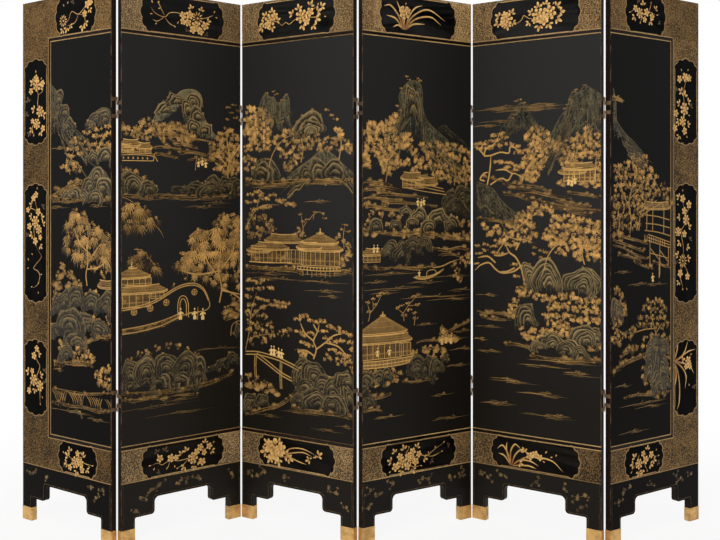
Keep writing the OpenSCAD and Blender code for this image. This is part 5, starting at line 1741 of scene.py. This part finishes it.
def apron_line(leaf, inset):
    """The opening between the feet, moved out onto the lacquer, with its corners cut."""
    foot, (step, step_top) = opening_foot_w - inset, opening_step
    half = [(foot, sabot_top), (foot, step_top + inset - corner_cut),
            (foot + corner_cut * 0.6, step_top + inset), (step - inset - corner_cut, step_top + inset),
            (step - inset, step_top + inset + corner_cut),
            (step - inset, opening_top + inset - corner_cut),
            (step - inset + corner_cut, opening_top + inset)]
    return half + [(leaf.width - x, y) for x, y in reversed(half)]


for leaf in leaves.values():
    random.seed(60 + leaf.number)
    outline = bmesh.new()
    lath(outline, apron_line(leaf, line_inset), opening_line_w, line_relief)
    for x in (side_margin + line_inset, leaf.width - side_margin - line_inset):
        lath(outline, [(x, sabot_top), (x, ground_bottom_z[0] - line_inset)], foot_line_w,
             line_relief)
    add_piece(outline, f"{leaf.body}_apron_line", apron_gilt, leaf)
    for x, y in sprig_places[leaf.number]:
        for k in range(3):
            start = Vector((x, y))
            ahead = Vector((random.uniform(-26, 26), random.uniform(-18, 18)))
            bend = Vector((ahead.y, -ahead.x)) * random.uniform(-0.3, 0.3)
            brush(leaf, "apron_sprigs", [start, start + ahead * 0.5 + bend, start + ahead], 1.8,
                  0.4, 3, 0.22)
            stamp(leaf, "apron_sprigs", leaf_spray, *(start + ahead), random.uniform(8, 13),
                  math.degrees(math.atan2(ahead.y, ahead.x)), random.uniform(0.25, 0.6), 0.3)
        stamp(leaf, "apron_sprigs", daisy if random.random() < 0.4 else blossom, x, y,
              random.uniform(8, 12), random.uniform(0, 60), random.uniform(0.4, 0.8), 0.34)
    add_piece(leaf.work.pop("apron_sprigs"), f"{leaf.body}_apron_sprigs", apron_gilt, leaf)


# ---- Gold of the landscape ----
# Two kinds of painting: washes of olive or gold powder that thin out to the lacquer, and
# strokes, leaves and figures in gilt, from dull brown gold to bright where the tone is high.

powder_scale = 300
side_trim = 1.2


def painted_finish(name, dull, bright, wash=0, fold=0, streak=(9, 1.4), lit=0):
    """Paint whose tone runs from dull to bright. A wash is see-through, a fold pale on top."""
    material, place = start_material(name)
    tint = place.node("Attribute", {"attribute_name": "tone"}, output="Fac")
    grains = place.noise(powder_scale, 2, 0.7)
    rubs = place.noise(28, 4, 0.6)
    stroke = place.node("UVMap", {"uv_map": "stroke"})
    depth = stroke.axis("Y")
    hairs = stroke.stretched(*streak, 1).noise(1, 4, 0.65, 0.4)
    creases = place.noise(52, 4, 0.65, 1.4)
    if fold:
        rim = depth.maths("POWER", depth, 2.4)
        tint = rim * tint * 2 + (hairs - 0.5) * fold * (rim + 0.25) + (creases - 0.5) * 0.8
    if wash:
        tint = tint + (hairs - 0.5) * streak[1] + (creases - 0.5) * 1.6
    if lit:
        tint = tint + (depth - 0.5) * lit
    shown = (tint + (grains - 0.5) * 0.6 + (rubs - 0.5) * 0.6).clamp()
    sockets = {"Base Color": shown.mix(dull, bright), "Metallic": 0.12,
               "Roughness": grains * 0.2 + 0.42, "Specular IOR Level": 0.2}
    if wash:
        cover = depth.maths("SQRT") * 0.9 + (hairs - 0.5) * 1.6 + (grains - 0.5) * 0.8 + tint * 0.3
        sockets["Alpha"] = cover.fade(0.3, 0.95) * wash
    coat(place, sockets, grains, 0.00012)
    return material


paints = {
    "mountain_washes": painted_finish("mountain_wash", tone(26, 24, 19), tone(136, 126, 94), 0.85,
                                      streak=(11, 1.3)),
    "gold_washes": painted_finish("gold_wash", tone(60, 43, 22), tone(196, 150, 86), 0.7,
                                  streak=(3, 2)),
    "thin_gold": painted_finish("thin_gold", tone(44, 32, 17), tone(196, 150, 84)),
    "rock_folds": painted_finish("rock_fold", tone(22, 18, 13), tone(172, 146, 96), fold=1.0,
                                 streak=(13, 1.1)),
    "rock_strokes": painted_finish("rock_stroke", tone(34, 28, 20), tone(160, 134, 86)),
    "gilt_strokes": painted_finish("gilt_stroke", tone(56, 41, 22), tone(236, 184, 104)),
    "foliage": painted_finish("foliage_gilt", tone(40, 28, 13), tone(244, 188, 106), lit=0.7),
    "figures": painted_finish("figure_gilt", tone(130, 92, 44), tone(250, 208, 130)),
}


def trim_to_leaf(shape, leaf):
    """Cuts painting off just inside the two sides of its leaf, and closes the cuts."""
    for side, way in ((side_trim, -1), (leaf.width - side_trim, 1)):
        bmesh.ops.bisect_plane(shape, geom=shape.verts[:] + shape.edges[:] + shape.faces[:],
                               dist=0.001, plane_co=(side, 0, 0), plane_no=(way, 0, 0),
                               clear_outer=True)
        bmesh.ops.holes_fill(shape, edges=[edge for edge in shape.edges if edge.is_boundary])


for leaf in leaves.values():
    for kind in sorted(leaf.work):
        trim_to_leaf(leaf.work[kind], leaf)
        add_piece(leaf.work[kind], f"{leaf.body}_{kind}", paints[kind], leaf)
    leaf.work = {}
